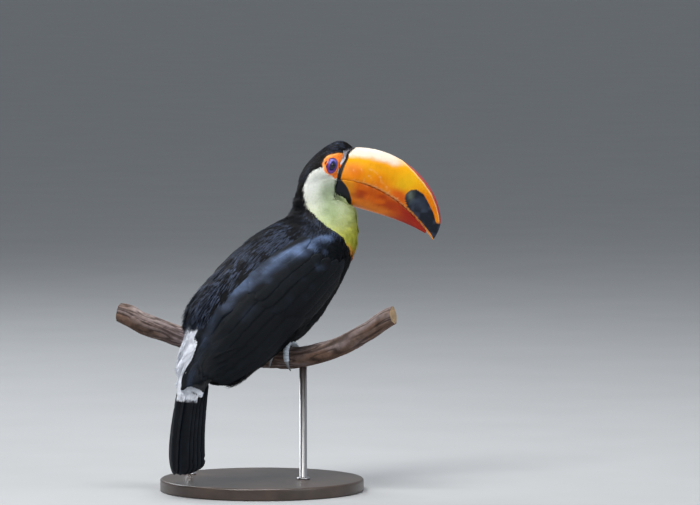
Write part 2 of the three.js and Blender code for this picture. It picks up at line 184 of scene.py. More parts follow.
GRAIN_STRETCH = {
    Grain.PORES: (1.0, 1.0, 1.0),
    Grain.STREAKS: (1.0, 1.0, 0.25),
    Grain.SCRATCHES: (0.25, 1.0, 1.0),
    Grain.BARK: (1.0, 1.0, 1.0),
    Grain.LATHED: (0.02, 0.02, 6.0),
    Grain.TIMBER: (0.12, 1.0, 1.0),
}


@dataclass(frozen=True)
class Relief:
    """Fine relief or mottling of a surface."""

    grain: Grain
    scale: float
    depth_mm: float


@dataclass(frozen=True)
class Finish:
    """A surface finish that becomes one material."""

    name: str
    colour: Colour | None = None
    roughness: float = 0.5
    metallic: float = 0.0
    specular: float = 0.5
    sheen: float = 0.0
    coat: float = 0.0
    coat_roughness: float = 0.1
    variation: float = 0.15
    variation_scale: float = 300.0
    reliefs: tuple[Relief, ...] = ()

    def material(self) -> bpy.types.Material:
        """Build the material, or return it when it's there already."""
        found = bpy.data.materials.get(self.name)
        if found:
            return found
        made = bpy.data.materials.new(self.name)
        made.use_nodes = True
        tree = made.node_tree
        shader = tree.nodes["Principled BSDF"]
        for socket, value in (
            ("Roughness", self.roughness),
            ("Metallic", self.metallic),
            ("Specular IOR Level", self.specular),
            ("Sheen Weight", self.sheen),
            ("Coat Weight", self.coat),
            ("Coat Roughness", self.coat_roughness),
        ):
            shader.inputs[socket].default_value = value
        self._paint(tree, shader)
        self._emboss(tree, shader)
        return made

    def _paint(self, tree: bpy.types.NodeTree, shader: bpy.types.Node) -> None:
        """Give the shader its colour, with a little mottling."""
        place = tree.nodes.new("ShaderNodeTexCoord")
        noise = tree.nodes.new("ShaderNodeTexNoise")
        noise.inputs["Scale"].default_value = self.variation_scale
        noise.inputs["Detail"].default_value = 4.0
        tree.links.new(place.outputs["Object"], noise.inputs["Vector"])
        spread = tree.nodes.new("ShaderNodeMapRange")
        spread.inputs["From Min"].default_value = 0.25
        spread.inputs["From Max"].default_value = 0.75
        spread.inputs["To Min"].default_value = 1.0 - self.variation
        spread.inputs["To Max"].default_value = 1.0 + self.variation
        tree.links.new(noise.outputs["Fac"], spread.inputs["Value"])
        scale = tree.nodes.new("ShaderNodeVectorMath")
        scale.operation = "SCALE"
        if self.colour is None:
            layer = tree.nodes.new("ShaderNodeAttribute")
            layer.attribute_name = COLOUR_LAYER
            tree.links.new(layer.outputs["Color"], scale.inputs[0])
        else:
            scale.inputs[0].default_value = self.colour
        tree.links.new(spread.outputs["Result"], scale.inputs["Scale"])
        tree.links.new(scale.outputs["Vector"], shader.inputs["Base Color"])

    def _emboss(self, tree: bpy.types.NodeTree, shader: bpy.types.Node) -> None:
        """Chain the reliefs into the shader's normal."""
        normal = None
        for relief in self.reliefs:
            bump = tree.nodes.new("ShaderNodeBump")
            bump.inputs["Strength"].default_value = 1.0
            bump.inputs["Distance"].default_value = relief.depth_mm * MM
            tree.links.new(self._height(tree, relief), bump.inputs["Height"])
            if normal:
                tree.links.new(normal, bump.inputs["Normal"])
            normal = bump.outputs["Normal"]
        if normal:
            tree.links.new(normal, shader.inputs["Normal"])

    def _height(self, tree: bpy.types.NodeTree, relief: Relief) -> bpy.types.NodeSocket:
        """Make the height pattern of one relief.

        Args:
            tree: The material's node tree.
            relief: The kind, scale and depth of the relief.

        Returns:
            The socket that carries the height.
        """
        if relief.grain is Grain.BARBS:
            return self._barbs(tree, relief.scale)
        place = tree.nodes.new("ShaderNodeTexCoord")
        squeeze = tree.nodes.new("ShaderNodeMapping")
        squeeze.inputs["Scale"].default_value = GRAIN_STRETCH[relief.grain]
        tree.links.new(place.outputs["Object"], squeeze.inputs["Vector"])
        if relief.grain is Grain.PORES:
            cells = tree.nodes.new("ShaderNodeTexVoronoi")
            cells.inputs["Scale"].default_value = relief.scale
            tree.links.new(squeeze.outputs["Vector"], cells.inputs["Vector"])
            return cells.outputs["Distance"]
        noise = tree.nodes.new("ShaderNodeTexNoise")
        noise.inputs["Scale"].default_value = relief.scale
        noise.inputs["Detail"].default_value = 5.0
        noise.inputs["Roughness"].default_value = 0.6
        tree.links.new(squeeze.outputs["Vector"], noise.inputs["Vector"])
        return noise.outputs["Fac"]

    def _barbs(self, tree: bpy.types.NodeTree, scale: float) -> bpy.types.NodeSocket:
        """Make slanting barbs on both sides of a feather's shaft from its Vane map."""
        layer = tree.nodes.new("ShaderNodeUVMap")
        layer.uv_map = VANE_MAP
        split = tree.nodes.new("ShaderNodeSeparateXYZ")
        tree.links.new(layer.outputs["UV"], split.inputs["Vector"])
        steps = [tree.nodes.new("ShaderNodeMath") for _ in range(3)]
        for step, operation in zip(steps, ("ABSOLUTE", "MULTIPLY", "ADD")):
            step.operation = operation
        across, slant, total = steps
        slant.inputs[1].default_value = BARB_SLANT
        tree.links.new(split.outputs["X"], across.inputs[0])
        tree.links.new(across.outputs[0], slant.inputs[0])
        tree.links.new(slant.outputs[0], total.inputs[0])
        tree.links.new(split.outputs["Y"], total.inputs[1])
        noise = tree.nodes.new("ShaderNodeTexNoise")
        noise.noise_dimensions = "1D"
        noise.inputs["Scale"].default_value = scale
        noise.inputs["Detail"].default_value = 3.0
        tree.links.new(total.outputs[0], noise.inputs["W"])
        return noise.outputs["Fac"]


PLUMAGE = Finish(
    "soft plumage", roughness=0.7, specular=0.25, variation=0.08,
    variation_scale=420.0, reliefs=(Relief(Grain.STREAKS, 2600.0, 0.05),),
)
GLOSSY_PLUMAGE = Finish(
    "glossy black plumage", roughness=0.6, specular=0.1, variation=0.3,
    variation_scale=260.0, reliefs=(Relief(Grain.STREAKS, 2200.0, 0.05),),
)
VANE = Finish(
    "feather vane", roughness=0.55, specular=0.12, variation=0.25, variation_scale=160.0,
    reliefs=(Relief(Grain.BARBS, 260.0, 0.18),),
)
SKIN = Finish(
    "bird skin", roughness=0.48, specular=0.4, variation=0.18, variation_scale=700.0,
    reliefs=(Relief(Grain.PORES, 1500.0, 0.18), Relief(Grain.STREAKS, 800.0, 0.1)),
)
HORN = Finish(
    "polished horn", roughness=0.3, specular=0.16, coat=0.08, coat_roughness=0.1,
    variation=0.08, variation_scale=70.0,
    reliefs=(Relief(Grain.SCRATCHES, 240.0, 0.10), Relief(Grain.SCRATCHES, 60.0, 0.2)),
)
LID = Finish(
    "wrinkled eyelid", roughness=0.4, specular=0.5, variation=0.2, variation_scale=900.0,
    reliefs=(Relief(Grain.PORES, 2400.0, 0.1),),
)
EYEBALL = Finish(
    "wet eye", roughness=0.06, specular=0.4, coat=0.3, coat_roughness=0.02,
    variation=0.1, variation_scale=500.0,
)
SCALES = Finish(
    "scaled foot", roughness=0.5, specular=0.4, variation=0.25, variation_scale=600.0,
    reliefs=(Relief(Grain.PORES, 1300.0, 0.12),),
)
CLAW = Finish(
    "dark claw", roughness=0.35, specular=0.5, coat=0.2, variation=0.2,
    variation_scale=400.0, reliefs=(Relief(Grain.SCRATCHES, 700.0, 0.05),),
)
BARK = Finish(
    "weathered bark", roughness=0.9, specular=0.2, variation=0.3, variation_scale=160.0,
    reliefs=(Relief(Grain.BARK, 420.0, 0.5), Relief(Grain.BARK, 1500.0, 0.2)),
)
TIMBER = Finish(
    "stained timber", colour=(0.055, 0.036, 0.027), roughness=0.38, specular=0.5,
    coat=0.25, coat_roughness=0.25, variation=0.45, variation_scale=34.0,
    reliefs=(Relief(Grain.TIMBER, 330.0, 0.06),),
)
STEEL = Finish(
    "satin steel", colour=(0.56, 0.56, 0.57), roughness=0.3, metallic=1.0,
    variation=0.06, variation_scale=500.0, reliefs=(Relief(Grain.LATHED, 260.0, 0.03),),
)
FLOOR = Finish(
    "pale floor", colour=(0.40, 0.41, 0.42), roughness=0.85, specular=0.2,
    variation=0.03, variation_scale=6.0, reliefs=(Relief(Grain.BARK, 260.0, 0.05),),
)


# ---- meshes
@dataclass
class Shape:
    """A mesh in the making, in millimetres."""

    points: Array
    faces: list[Array]
    colours: Array | None = None
    patches: Array | None = None
    vane: Array | None = None
    smooth: bool = True

    def triangles(self) -> int:
        """Count the triangles that the faces make."""
        return sum(len(f) * (f.shape[1] - 2) for f in self.faces)

    def mesh(self, name: str) -> bpy.types.Mesh:
        """Turn the shape into a Blender mesh in metres.

        Args:
            name: The mesh's name.

        Returns:
            The mesh, with its colours and UV maps.
        """
        made = bpy.data.meshes.new(name)
        made.vertices.add(len(self.points))
        made.vertices.foreach_set("co", (self.points * MM).astype(np.float32).ravel())
        corners = np.concatenate([f.ravel() for f in self.faces]).astype(np.int32)
        sizes = np.concatenate([np.full(len(f), f.shape[1]) for f in self.faces])
        made.loops.add(len(corners))
        made.loops.foreach_set("vertex_index", corners)
        made.polygons.add(len(sizes))
        starts = np.concatenate([[0], np.cumsum(sizes)[:-1]]).astype(np.int32)
        made.polygons.foreach_set("loop_start", starts)
        made.polygons.foreach_set("use_smooth", np.full(len(sizes), self.smooth))
        made.update(calc_edges=True)
        if self.colours is not None:
            layer = made.color_attributes.new(COLOUR_LAYER, "FLOAT_COLOR", "POINT")
            rgba = np.ones((len(self.points), 4), np.float32)
            rgba[:, :3] = np.clip(self.colours, 0.0, 1.0)
            layer.data.foreach_set("color", rgba.ravel())
        for label, coordinates in ((BAKE_MAP, self.patches), (VANE_MAP, self.vane)):
            if coordinates is not None:
                uv = made.uv_layers.new(name=label)
                uv.data.foreach_set("uv", coordinates[corners].astype(np.float32).ravel())
        return made


def merged(shapes: Sequence[Shape]) -> Shape:
    """Join shapes.

    Args:
        shapes: At least one shape; all carry the same colours and maps.

    Returns:
        One shape with everything in the order given.
    """
    starts = np.cumsum([0] + [len(shape.points) for shape in shapes])
    layers = (
        None if getattr(shapes[0], layer) is None
        else np.concatenate([getattr(shape, layer) for shape in shapes])
        for layer in ("colours", "patches", "vane")
    )
    faces = [f + start for shape, start in zip(shapes, starts) for f in shape.faces]
    points = np.concatenate([shape.points for shape in shapes])
    return Shape(points, faces, *layers, shapes[0].smooth)


def put(
    name: str, shape: Shape, finish: Finish, nodes: Sequence[str] = ()
) -> bpy.types.Object:
    """Add a finished piece to the scene.

    Args:
        name: The piece's name.
        shape: Its mesh, in millimetres.
        finish: Its finish.
        nodes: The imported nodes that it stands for.

    Returns:
        The new object.
    """
    made = bpy.data.objects.new(name, shape.mesh(name))
    made.data.materials.append(finish.material())
    bpy.context.scene.collection.objects.link(made)
    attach(made, "root")
    if nodes:
        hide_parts(*nodes)
    log.info("%s: %d triangles", name, shape.triangles())
    return made


def loft(rings: Array) -> Shape:
    """Skin a closed surface over rings, each end closed by a fan.

    Args:
        rings: Points in the order [ring, side, xyz].

    Returns:
        The surface as a shape, its two fan centres last.
    """
    count, sides, _ = rings.shape
    r, s = pairings(np.arange(count - 1), np.arange(sides))
    a = r * sides + s
    b = r * sides + (s + 1) % sides
    first = count * sides
    end = first - sides
    k = np.arange(sides)
    n = (k + 1) % sides
    faces = [
        np.stack([a, b, b + sides, a + sides], axis=1),
        np.stack([np.full(sides, first), n, k], axis=1),
        np.stack([np.full(sides, first + 1), end + k, end + n], axis=1),
    ]
    centres = (rings[0].mean(0)[None], rings[-1].mean(0)[None])
    return turned_out(Shape(np.concatenate([rings.reshape(-1, 3), *centres]), faces))


def turned_out(shape: Shape) -> Shape:
    """Turn every face round when the volume comes out negative.

    Args:
        shape: A closed shape, which is changed in place.

    Returns:
        The same shape, its faces looking out.
    """
    volume = 0.0
    for f in shape.faces:
        for k in range(1, f.shape[1] - 1):
            a, b, c = (shape.points[f[:, i]] for i in (0, k, k + 1))
            volume += float(np.einsum("ij,ij->", a, np.cross(b, c)))
    if volume < 0.0:
        shape.faces = [f[:, ::-1].copy() for f in shape.faces]
    return shape


def tube_rings(path: Array, radii: Array, sides: int) -> Array:
    """Lay rings round a path.

    Args:
        path: Points along the middle of the tube.
        radii: Its radius at each point.
        sides: Points in a ring.

    Returns:
        Points in the order [ring, side, xyz].
    """
    along = unit(np.gradient(path, axis=0))
    hint = (1.0, 0.0, 0.0) if abs(along[:, 0]).max() < 0.9 else (0.0, 1.0, 0.0)
    side = unit(np.cross(np.broadcast_to(hint, along.shape), along))
    up = np.cross(along, side)
    turn = circle(sides)
    ring = side[:, None] * np.cos(turn)[None, :, None]
    ring = ring + up[:, None] * np.sin(turn)[None, :, None]
    return path[:, None] + ring * radii[:, None, None]


# ---- forms
@dataclass
class BodyForm:
    """The bird's trunk and neck as sections along a spine in its middle plane."""

    stations: Array = field(default_factory=lambda: np.array([
        [93, 364, 25, 27, 23], [94, 343, 34, 29, 27.5], [94, 321, 41, 44, 38],
        [85, 297, 47, 51, 45], [65, 273, 56, 57, 51], [37, 249, 66, 63, 55],
        [6, 221, 73, 61, 56], [-24, 191, 73, 46, 52], [-52, 165, 64, 34, 46],
        [-77, 147, 47, 25, 38], [-98, 133, 27, 17, 31], [-112, 116, 13, 10, 28],
    ], float))

    def spine(self, share: Array) -> Array:
        """Measure the spine's heading towards the tail.

        Args:
            share: Places down the spine, from 0 to 1.

        Returns:
            One unit vector for each place.
        """
        ahead = catmull(self.stations, np.minimum(share + 0.01, 1.0))
        behind = catmull(self.stations, np.maximum(share - 0.01, 0.0))
        run = ahead[:, :2] - behind[:, :2]
        return unit(np.stack([run[:, 0], np.zeros(len(run)), run[:, 1]], axis=1))

    def point(self, share: Array, angle: Array, grow: Array | float) -> Array:
        """Return places on the body.

        Args:
            share: Places down the spine, from 0 to 1.
            angle: Degrees from the back towards the right side.
            grow: Distance outside the surface.

        Returns:
            One point for each place.
        """
        x, z, back, front, half = catmull(self.stations, share).T
        spine = self.spine(share)
        dorsal = np.stack([spine[:, 2], np.zeros(len(x)), -spine[:, 0]], axis=1)
        up, out = np.cos(np.radians(angle)), np.sin(np.radians(angle))
        reach = up * (np.where(up > 0, back, front) + grow)
        place = np.stack([x, -out * (half + grow), z], axis=1)
        return place + dorsal * reach[:, None]

    def locate(self, points: Array) -> tuple[Array, Array]:
        """Find where points lie on the body.

        Args:
            points: Places near the body.

        Returns:
            The share down the spine and the angle in degrees, for each point.
        """
        share = np.linspace(0.0, 1.0, 241)
        rows = catmull(self.stations, share)
        spine = self.spine(share)
        found, angle = np.empty(len(points)), np.empty(len(points))
        for start in range(0, len(points), 20000):
            part = points[start:start + 20000]
            dx = part[:, 0, None] - rows[:, 0]
            dz = part[:, 2, None] - rows[:, 1]
            off = np.abs(dx * spine[:, 0] + dz * spine[:, 2]) + 0.002 * np.hypot(dx, dz)
            i = off.argmin(1)
            k = np.arange(len(part))
            dorsal = dx[k, i] * spine[i, 2] - dz[k, i] * spine[i, 0]
            reach = np.where(dorsal > 0, rows[i, 2], rows[i, 3])
            found[start:start + 20000] = share[i]
            angle[start:start + 20000] = np.degrees(
                np.arctan2(-part[:, 1] / rows[i, 4], dorsal / reach)
            )
        return found, angle


@dataclass
class HeadForm:
    """The head's own directions: forward along the bill, to its right, and up."""

    place: tuple[float, float, float] = (96.0, 0.0, 381.0)
    turn: float = -13.0
    bow: float = 12.0

    @property
    def matrix(self) -> Array:
        """The head's forward, left and up directions as columns."""
        turn, bow = math.radians(self.turn), math.radians(self.bow)
        c, s = math.cos(turn), math.sin(turn)
        about_up = np.array([[c, -s, 0], [s, c, 0], [0, 0, 1]])
        c, s = math.cos(bow), math.sin(bow)
        about_side = np.array([[c, 0, s], [0, 1, 0], [-s, 0, c]])
        return about_up @ about_side

    def inside(self, points: Array) -> Array:
        """Return points as [forward, left, up] of the head."""
        return (points - np.array(self.place)) @ self.matrix

    def outside(self, points: Array) -> Array:
        """Return [forward, left, up] of the head as places in the scene."""
        return points @ self.matrix.T + np.array(self.place)


@dataclass
class PerchForm:
    """The bough: how it runs, and how thick it is."""

    middle_x: float = 8.0
    heading: float = -63.0
    line: Array = field(default_factory=lambda: np.array([
        [-190, 203, 11.5], [-156, 191, 12.6], [-118, 179, 12.2], [-69, 167, 12.8],
        [-24, 159, 13.2], [20, 156.5, 13], [55, 160, 12], [90, 171.5, 11.4],
        [131, 193, 10.8], [160, 211, 10.4],
    ], float))
    leg_spread: float = 21.0

    @property
    def run(self) -> Array:
        """The level direction that the bough runs in."""
        a = math.radians(self.heading)
        return np.array([math.cos(a), math.sin(a), 0.0])

    def at(self, along: Array | float) -> tuple[Array, Array]:
        """Return the bough's centre and radius at places along it.

        Args:
            along: Distances from the middle, towards the bird's right.

        Returns:
            One centre and one radius for each place.
        """
        along = np.atleast_1d(np.asarray(along, float))
        i = np.clip(np.searchsorted(self.line[:, 0], along), 1, len(self.line) - 1)
        within = (along - self.line[i - 1, 0]) / (self.line[i, 0] - self.line[i - 1, 0])
        rows = catmull(self.line, (i - 1 + within) / (len(self.line) - 1))
        centre = np.array([self.middle_x, 0.0, 0.0]) + along[:, None] * self.run
        centre[:, 2] = rows[:, 1]
        return centre, rows[:, 2]

    def foot_along(self, side: int) -> float:
        """Return where a foot stands along the bough; side is 1 for left."""
        return side * self.leg_spread / self.run[1]


BODY = BodyForm()
HEAD = HeadForm()
PERCH = PerchForm()


# ---- markings
@dataclass(frozen=True)
class Palette:
    """The plumage and skin colours."""

    black: Colour = (0.0034, 0.0040, 0.0058)
    crown: Colour = (0.0062, 0.0048, 0.0050)
    slate: Colour = (0.0042, 0.0064, 0.0092)
    # Painted sheen: the blue reflection along the wing's upper edge.
    sheen: Colour = (0.125, 0.185, 0.33)
    # Pale streaks in the black coat, which also stand for painted highlights on it.
    streak_and_sheen: Colour = (0.046, 0.062, 0.105)
    white: Colour = (0.80, 0.82, 0.78)
    cream: Colour = (0.60, 0.66, 0.36)
    yellow: Colour = (0.58, 0.58, 0.07)
    # Painted shade: the grey-green tint of the bib behind and under the bill.
    bib_shade_tint: Colour = (0.52, 0.60, 0.44)
    flame: Colour = (0.80, 0.22, 0.02)
    red: Colour = (0.52, 0.02, 0.012)
    snow: Colour = (0.76, 0.79, 0.86)
    lilac: Colour = (0.62, 0.60, 0.66)
    orange: Colour = (0.90, 0.19, 0.004)
    glow: Colour = (0.98, 0.52, 0.12)
    violet: Colour = (0.10, 0.085, 0.42)
    purple: Colour = (0.15, 0.04, 0.28)
    maroon: Colour = (0.035, 0.003, 0.012)
    foot: Colour = (0.34, 0.38, 0.43)
    claw_root: Colour = (0.22, 0.24, 0.26)
    claw_tip: Colour = (0.05, 0.05, 0.054)
    tail: Colour = (0.0050, 0.0066, 0.0096)


PALETTE = Palette()


@dataclass
class Survey:
    """Where each of a set of points lies on the bird."""

    points: Array

    def __post_init__(self) -> None:
        """Measure every point against the body and the head."""
        self.share, self.angle = BODY.locate(self.points)
        inner = HEAD.inside(self.points)
        self.forward, self.right, self.up = inner[:, 0], -inner[:, 1], inner[:, 2]
        self.height = self.points[:, 2]
        self.on_head = ease(338.0, 352.0, self.height)
        lean = 10.0 * (1.0 - ease(0.08, 0.30, self.share))
        self.round = np.abs(self.angle + lean)
        self.face = np.hypot(self.forward, self.up)
        self.head_round = np.degrees(np.arctan2(np.abs(self.right), -self.forward))
        self.turned = self.share + 0.035 * ease(-8.0, -42.0, self.angle)

    def bib(self) -> Array:
        """Return how far inside the pale bib a point is, in degrees round the neck."""
        low = np.interp(
            self.share, [0.0, 0.08, 0.138, 0.20, 0.238, 0.256, 0.266, 0.280],
            [12.0, 21.0, 33.0, 44.0, 60.0, 80.0, 104.0, 186.0],
        )
        low = low + 16.0 * ease(0.0, -12.0, self.angle) * ease(0.3, 0.1, self.share)
        high = np.interp(
            -self.up, [-40.0, 1.0, 4.0, 8.0, 13.0, 25.0, 42.0, 56.0],
            [200.0, 150.0, 62.0, 42.0, 28.0, 17.0, 28.0, 48.0],
        )
        high = high + 24.0 * ease(0.0, -5.0, self.right)
        below = self.round - low
        above = self.head_round - high
        return below + (above - below) * self.on_head

    def bare(self) -> Array:
        """Return how far inside the bare orange face a point is, in millimetres."""
        edge = np.interp(
            np.degrees(np.arctan2(self.up, self.forward)),
            [-180, -153, -138, -121, -101, -76, -63, -50, -39, -27, -5, 14, 32, 36, 47, 57,
             75, 99, 131, 162, 180],
            [10.2, 10.6, 11.4, 11.9, 11.2, 12.6, 17, 17, 14.2, 11.2, 11, 12.4, 15.3, 18.6, 23,
             20.2, 14.9, 12.0, 9.8, 9.2, 10.2],
        )
        beside = (np.abs(self.right) > 8.0) & (self.forward < 30.0)
        return np.where(beside, edge - self.face, -9.0)

    def base(self) -> Array:
        """Return how far before the bill's root a point is, in millimetres."""
        edge = np.interp(
            self.up, [-45, -16, -11, -6, 0, 2, 6, 10, 17, 22, 27.5],
            [11.0, 10.6, 11.0, 11.0, 12.2, 14, 16.2, 19, 21.4, 26, 35.6],
        )
        return self.forward - edge

    def lore(self) -> Array:
        """Return how far inside the pale patch before the crown a point is."""
        rear = self.forward - np.interp(self.up, [3, 8, 11, 15, 17], [12, 13.2, 15, 15.3, 16])
        top = 17.0 + (self.forward - 13.0) * 0.47 - self.up
        return np.minimum(np.minimum(rear, self.up - 4.0), top)


def body_colours(survey: Survey, jitter: Array) -> Array:
    """Return the markings of skin and coat.

    Args:
        survey: Where the points lie.
        jitter: A random number from -1 to 1 for each point, which frays the edges.

    Returns:
        One colour for each point.
    """
    s = survey
    across = s.points[:, 1]
    colours = mix(PALETTE.black, PALETTE.crown, s.on_head)
    body = (1.0 - s.on_head) * (s.share > 0.2)

    # The pale bib: white above, yellow below, with painted grey-green shade behind and under the bill,
    # flame at its hem.
    ahead = 34.0 * ease(60.0, 150.0, s.round)
    yellow = ease(328.0, 290.0, s.height - 0.5 * ahead + 4.0 * jitter)
    cream = ease(362.0, 306.0, s.height - 0.8 * ahead + 4.0 * jitter)
    bib = mix(mix(PALETTE.white, PALETTE.cream, cream), PALETTE.yellow, yellow)
    # Painted shade: the bib darkened to grey-green behind and under the bill.
    olive = ease(-17.0, 0.0, s.forward) * ease(-4.0, -32.0, s.up) * ease(-76.0, -50.0, s.up)
    olive = olive * (0.5 + 0.5 * ease(16.0, 4.0, s.forward))
    bib = mix(bib, bib * np.array(PALETTE.bib_shade_tint), olive)
    hem = ease(0.246, 0.272, s.share + 0.006 * jitter) * ease(96.0, 120.0, s.round)
    bib = mix(bib, PALETTE.flame, hem * 0.8)
    inside = s.bib() + 3.0 * jitter
    colours = mix(colours, bib, ease(-1.5, 1.5, inside))

    # The narrow red band under the bib, in front.
    band = ease(0.268, 0.276, s.share + 0.004 * jitter) * ease(0.312, 0.298, s.share)
    band = band * ease(158.0, 169.0, s.round)
    colours = mix(colours, PALETTE.red, band * (inside < 0.0) * 0.9 * body)

    # The white rump, which runs on over the tail's root.
    flank = np.interp(s.share, [0.75, 0.85, 0.95, 1.0], [75.0, 68.0, 58.0, 55.0])
    flank = flank + 16.0 * ease(0.78, 0.84, s.share) * ease(-15.0, -40.0, s.angle)
    rear = s.points[:, 0] < np.where(s.round < 95.0, -103.0, -114.0) + 13.0 * (s.angle < -20.0)
    behind = (s.share > 0.9) & (across > -26.0) & (across < 24.0) & rear & (s.round < 130.0)
    right_limit = np.where(s.angle > 0.0, 14.0 * ease(0.88, 0.96, s.share), 0.0)
    rump = ((s.round < flank - right_limit) & (s.share < 0.93)) | behind
    rump = ease(0.732, 0.757, s.turned + 0.008 * jitter) * rump
    colours = mix(colours, PALETTE.snow, rump * body)

    # The red undertail.
    vent = ease(0.85, 0.88, s.share + 0.01 * jitter) * ease(148.0, 158.0, s.round)
    vent = vent * (s.points[:, 0] > -104.0) * ease(-12.0, -7.0, across)
    colours = mix(colours, PALETTE.red, vent * body)

    # The lilac patch before the crown, the bare face and the black root of the bill.
    colours = mix(colours, PALETTE.lilac, ease(-0.5, 1.0, s.lore()) * s.on_head)
    bare = s.bare() + 0.15 * jitter
    rim = 0.5 * ease(3.6, 0.8, bare) * ease(-5.0, 3.0, s.up - 0.6 * s.forward)
    skin = mix(PALETTE.orange, PALETTE.glow, rim)
    colours = mix(colours, skin, ease(-0.6, 0.6, bare))
    root = ease(-0.4, 0.5, s.base()) * (s.up > -18.0) * (s.up < 28.0) * s.on_head
    return mix(colours, PALETTE.black, root * (np.abs(s.right) > 7.0))


# ---- skin
@dataclass
class Skin:
    """The bird's one skin, which lies inside the solids by the coat's depth."""

    voxel: float = 1.0
    flesh: tuple[str, ...] = ("head", "neck", "trunk", "rump", "undertail") + WINGS + LEGS
    bill_reach: float = 30.0
    near_leg: float = 1.2
    near_eye: float = 1.0
    near_shell: float = 0.9
    face_depth: float = 0.3
    horn_depth: float = 1.6
    eye_depth: float = 3.4
    points: Array = field(init=False)
    quads: Array = field(init=False)
    edges: Array = field(init=False)
    degree: Array = field(init=False)
    normals: Array = field(init=False)
    legs: Array = field(init=False)
    horn: Array = field(init=False)
    wing: Array = field(init=False)
    tree: BVHTree = field(init=False)

    def _gather(self) -> bpy.types.Object:
        """Join copies of the solids, with the bill cut short, into one object."""
        joined = bmesh.new()
        cut = HEAD.outside(np.array([[self.bill_reach, 0.0, 0.0]]))[0] * MM
        for name in self.flesh + EYES + BILLS:
            part = bmesh.new()
            part.from_mesh(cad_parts[name].data)
            if name in BILLS:
                bmesh.ops.remove_doubles(part, verts=part.verts, dist=1e-6)
                bmesh.ops.bisect_plane(
                    part, geom=part.verts[:] + part.edges[:] + part.faces[:],
                    plane_co=cut, plane_no=HEAD.matrix[:, 0], clear_outer=True,
                )
                rim = [e for e in part.edges if e.is_boundary]
                bmesh.ops.holes_fill(part, edges=rim)
            data = bpy.data.meshes.new("part of skin")
            part.to_mesh(data)
            part.free()
            joined.from_mesh(data)
            bpy.data.meshes.remove(data)
        data = bpy.data.meshes.new("gathered skin")
        joined.to_mesh(data)
        joined.free()
        return bpy.data.objects.new("gathered skin", data)

    def _remesh(self) -> None:
        """Turn the joined solids into one even mesh."""
        rough = self._gather()
        bpy.context.scene.collection.objects.link(rough)
        change = rough.modifiers.new("Even", "REMESH")
        change.mode = "VOXEL"
        change.voxel_size = self.voxel * MM
        graph = bpy.context.evaluated_depsgraph_get()
        data = bpy.data.meshes.new_from_object(rough.evaluated_get(graph))
        bpy.data.objects.remove(rough)
        co = np.empty(len(data.vertices) * 3, np.float32)
        data.vertices.foreach_get("co", co)
        corners = np.empty(len(data.loops), np.int32)
        data.loops.foreach_get("vertex_index", corners)
        self.points = co.reshape(-1, 3).astype(float) / MM
        self.quads = corners.reshape(-1, 4)
        bpy.data.meshes.remove(data)
        pairs = np.concatenate([self.quads[:, [i, (i + 1) % 4]] for i in range(4)])
        pairs.sort(axis=1)
        self.edges = np.unique(pairs, axis=0)
        self.degree = np.bincount(self.edges.ravel(), minlength=len(self.points))

    def _near(self, names: Sequence[str], reach: float) -> Array:
        """Find which points lie near some solids.

        Args:
            names: The solids' nodes.
            reach: The greatest distance.

        Returns:
            True or False for each point.
        """
        verts: list[Vector] = []
        polys: list[tuple[int, ...]] = []
        for name in names:
            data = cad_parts[name].data
            shift = len(verts)
            verts.extend(v.co / MM for v in data.vertices)
            polys.extend(tuple(i + shift for i in p.vertices) for p in data.polygons)
        tree = BVHTree.FromPolygons(verts, polys)
        box = np.array(verts)
        low, high = box.min(0) - reach, box.max(0) + reach
        near = np.all((self.points > low) & (self.points < high), axis=1)
        for i in np.flatnonzero(near):
            near[i] = tree.find_nearest(Vector(self.points[i]), reach)[0] is not None
        return near

    def _around(self, values: Array) -> Array:
        """Average over each point's neighbours.

        Args:
            values: One value for each point.

        Returns:
            The mean of its neighbours' values for each point.
        """
        a, b = self.edges.T
        count = len(values)
        total = np.bincount(a, values[b], count) + np.bincount(b, values[a], count)
        return total / self.degree

    def _relax(self, share: Array, times: int) -> None:
        """Smooth the skin; share says how much each point takes part."""
        for _ in range(times):
            mean = np.stack([self._around(axis) for axis in self.points.T], axis=1)
            self.points += (mean - self.points) * 0.5 * share[:, None]

    def _blur(self, values: Array, times: int) -> Array:
        """Spread values softly over the skin."""
        for _ in range(times):
            values = 0.5 * values + 0.5 * self._around(values)
        return values

    def _turn_normals(self) -> None:
        """Measure the skin's normals."""
        p, q = self.points, self.quads
        flat = np.cross(p[q[:, 2]] - p[q[:, 0]], p[q[:, 3]] - p[q[:, 1]])
        total = np.stack([
            sum(np.bincount(q[:, i], flat[:, k], len(p)) for i in range(4)) for k in range(3)
        ], axis=1)
        self.normals = unit(total)

    def build(self) -> None:
        """Make the skin's mesh and note which parts are leg, bill and wing."""
        self._remesh()
        self.legs = self._near(LEGS, self.near_leg)
        self.horn = self._near(BILLS, self.near_shell)
        self.wing = self._near(WINGS, self.near_shell)
        eyes = self._near(EYES, self.near_eye)
        trunk = ease(HEAD_FROM, HEAD_FROM - 20.0, self.points[:, 2]) * ~self.legs
        before = self.points.copy()
        self._relax(np.where(self.legs | eyes, 0.0, 1.0), 8)
        self._relax(trunk, 50)
        self._relax(np.ones(len(self.points)), 2)
        self._turn_normals()
        lost = self._blur(np.sum((before - self.points) * self.normals, axis=1), 40)
        survey = Survey(self.points)
        depth = np.where(survey.bare() > -1.0, self.face_depth, self._coat_depth(survey))
        depth = np.where(self.horn, self.horn_depth, depth)
        depth = np.where(eyes, self.eye_depth, depth - np.maximum(lost, 0.0))
        depth = np.where(self.legs, 0.0, depth)
        self.points -= self.normals * self._blur(depth, 4)[:, None]
        self._turn_normals()
        self.tree = BVHTree.FromPolygons(self.points.tolist(), self.quads.tolist())
        log.info("skin: %d points, %d quads", len(self.points), len(self.quads))

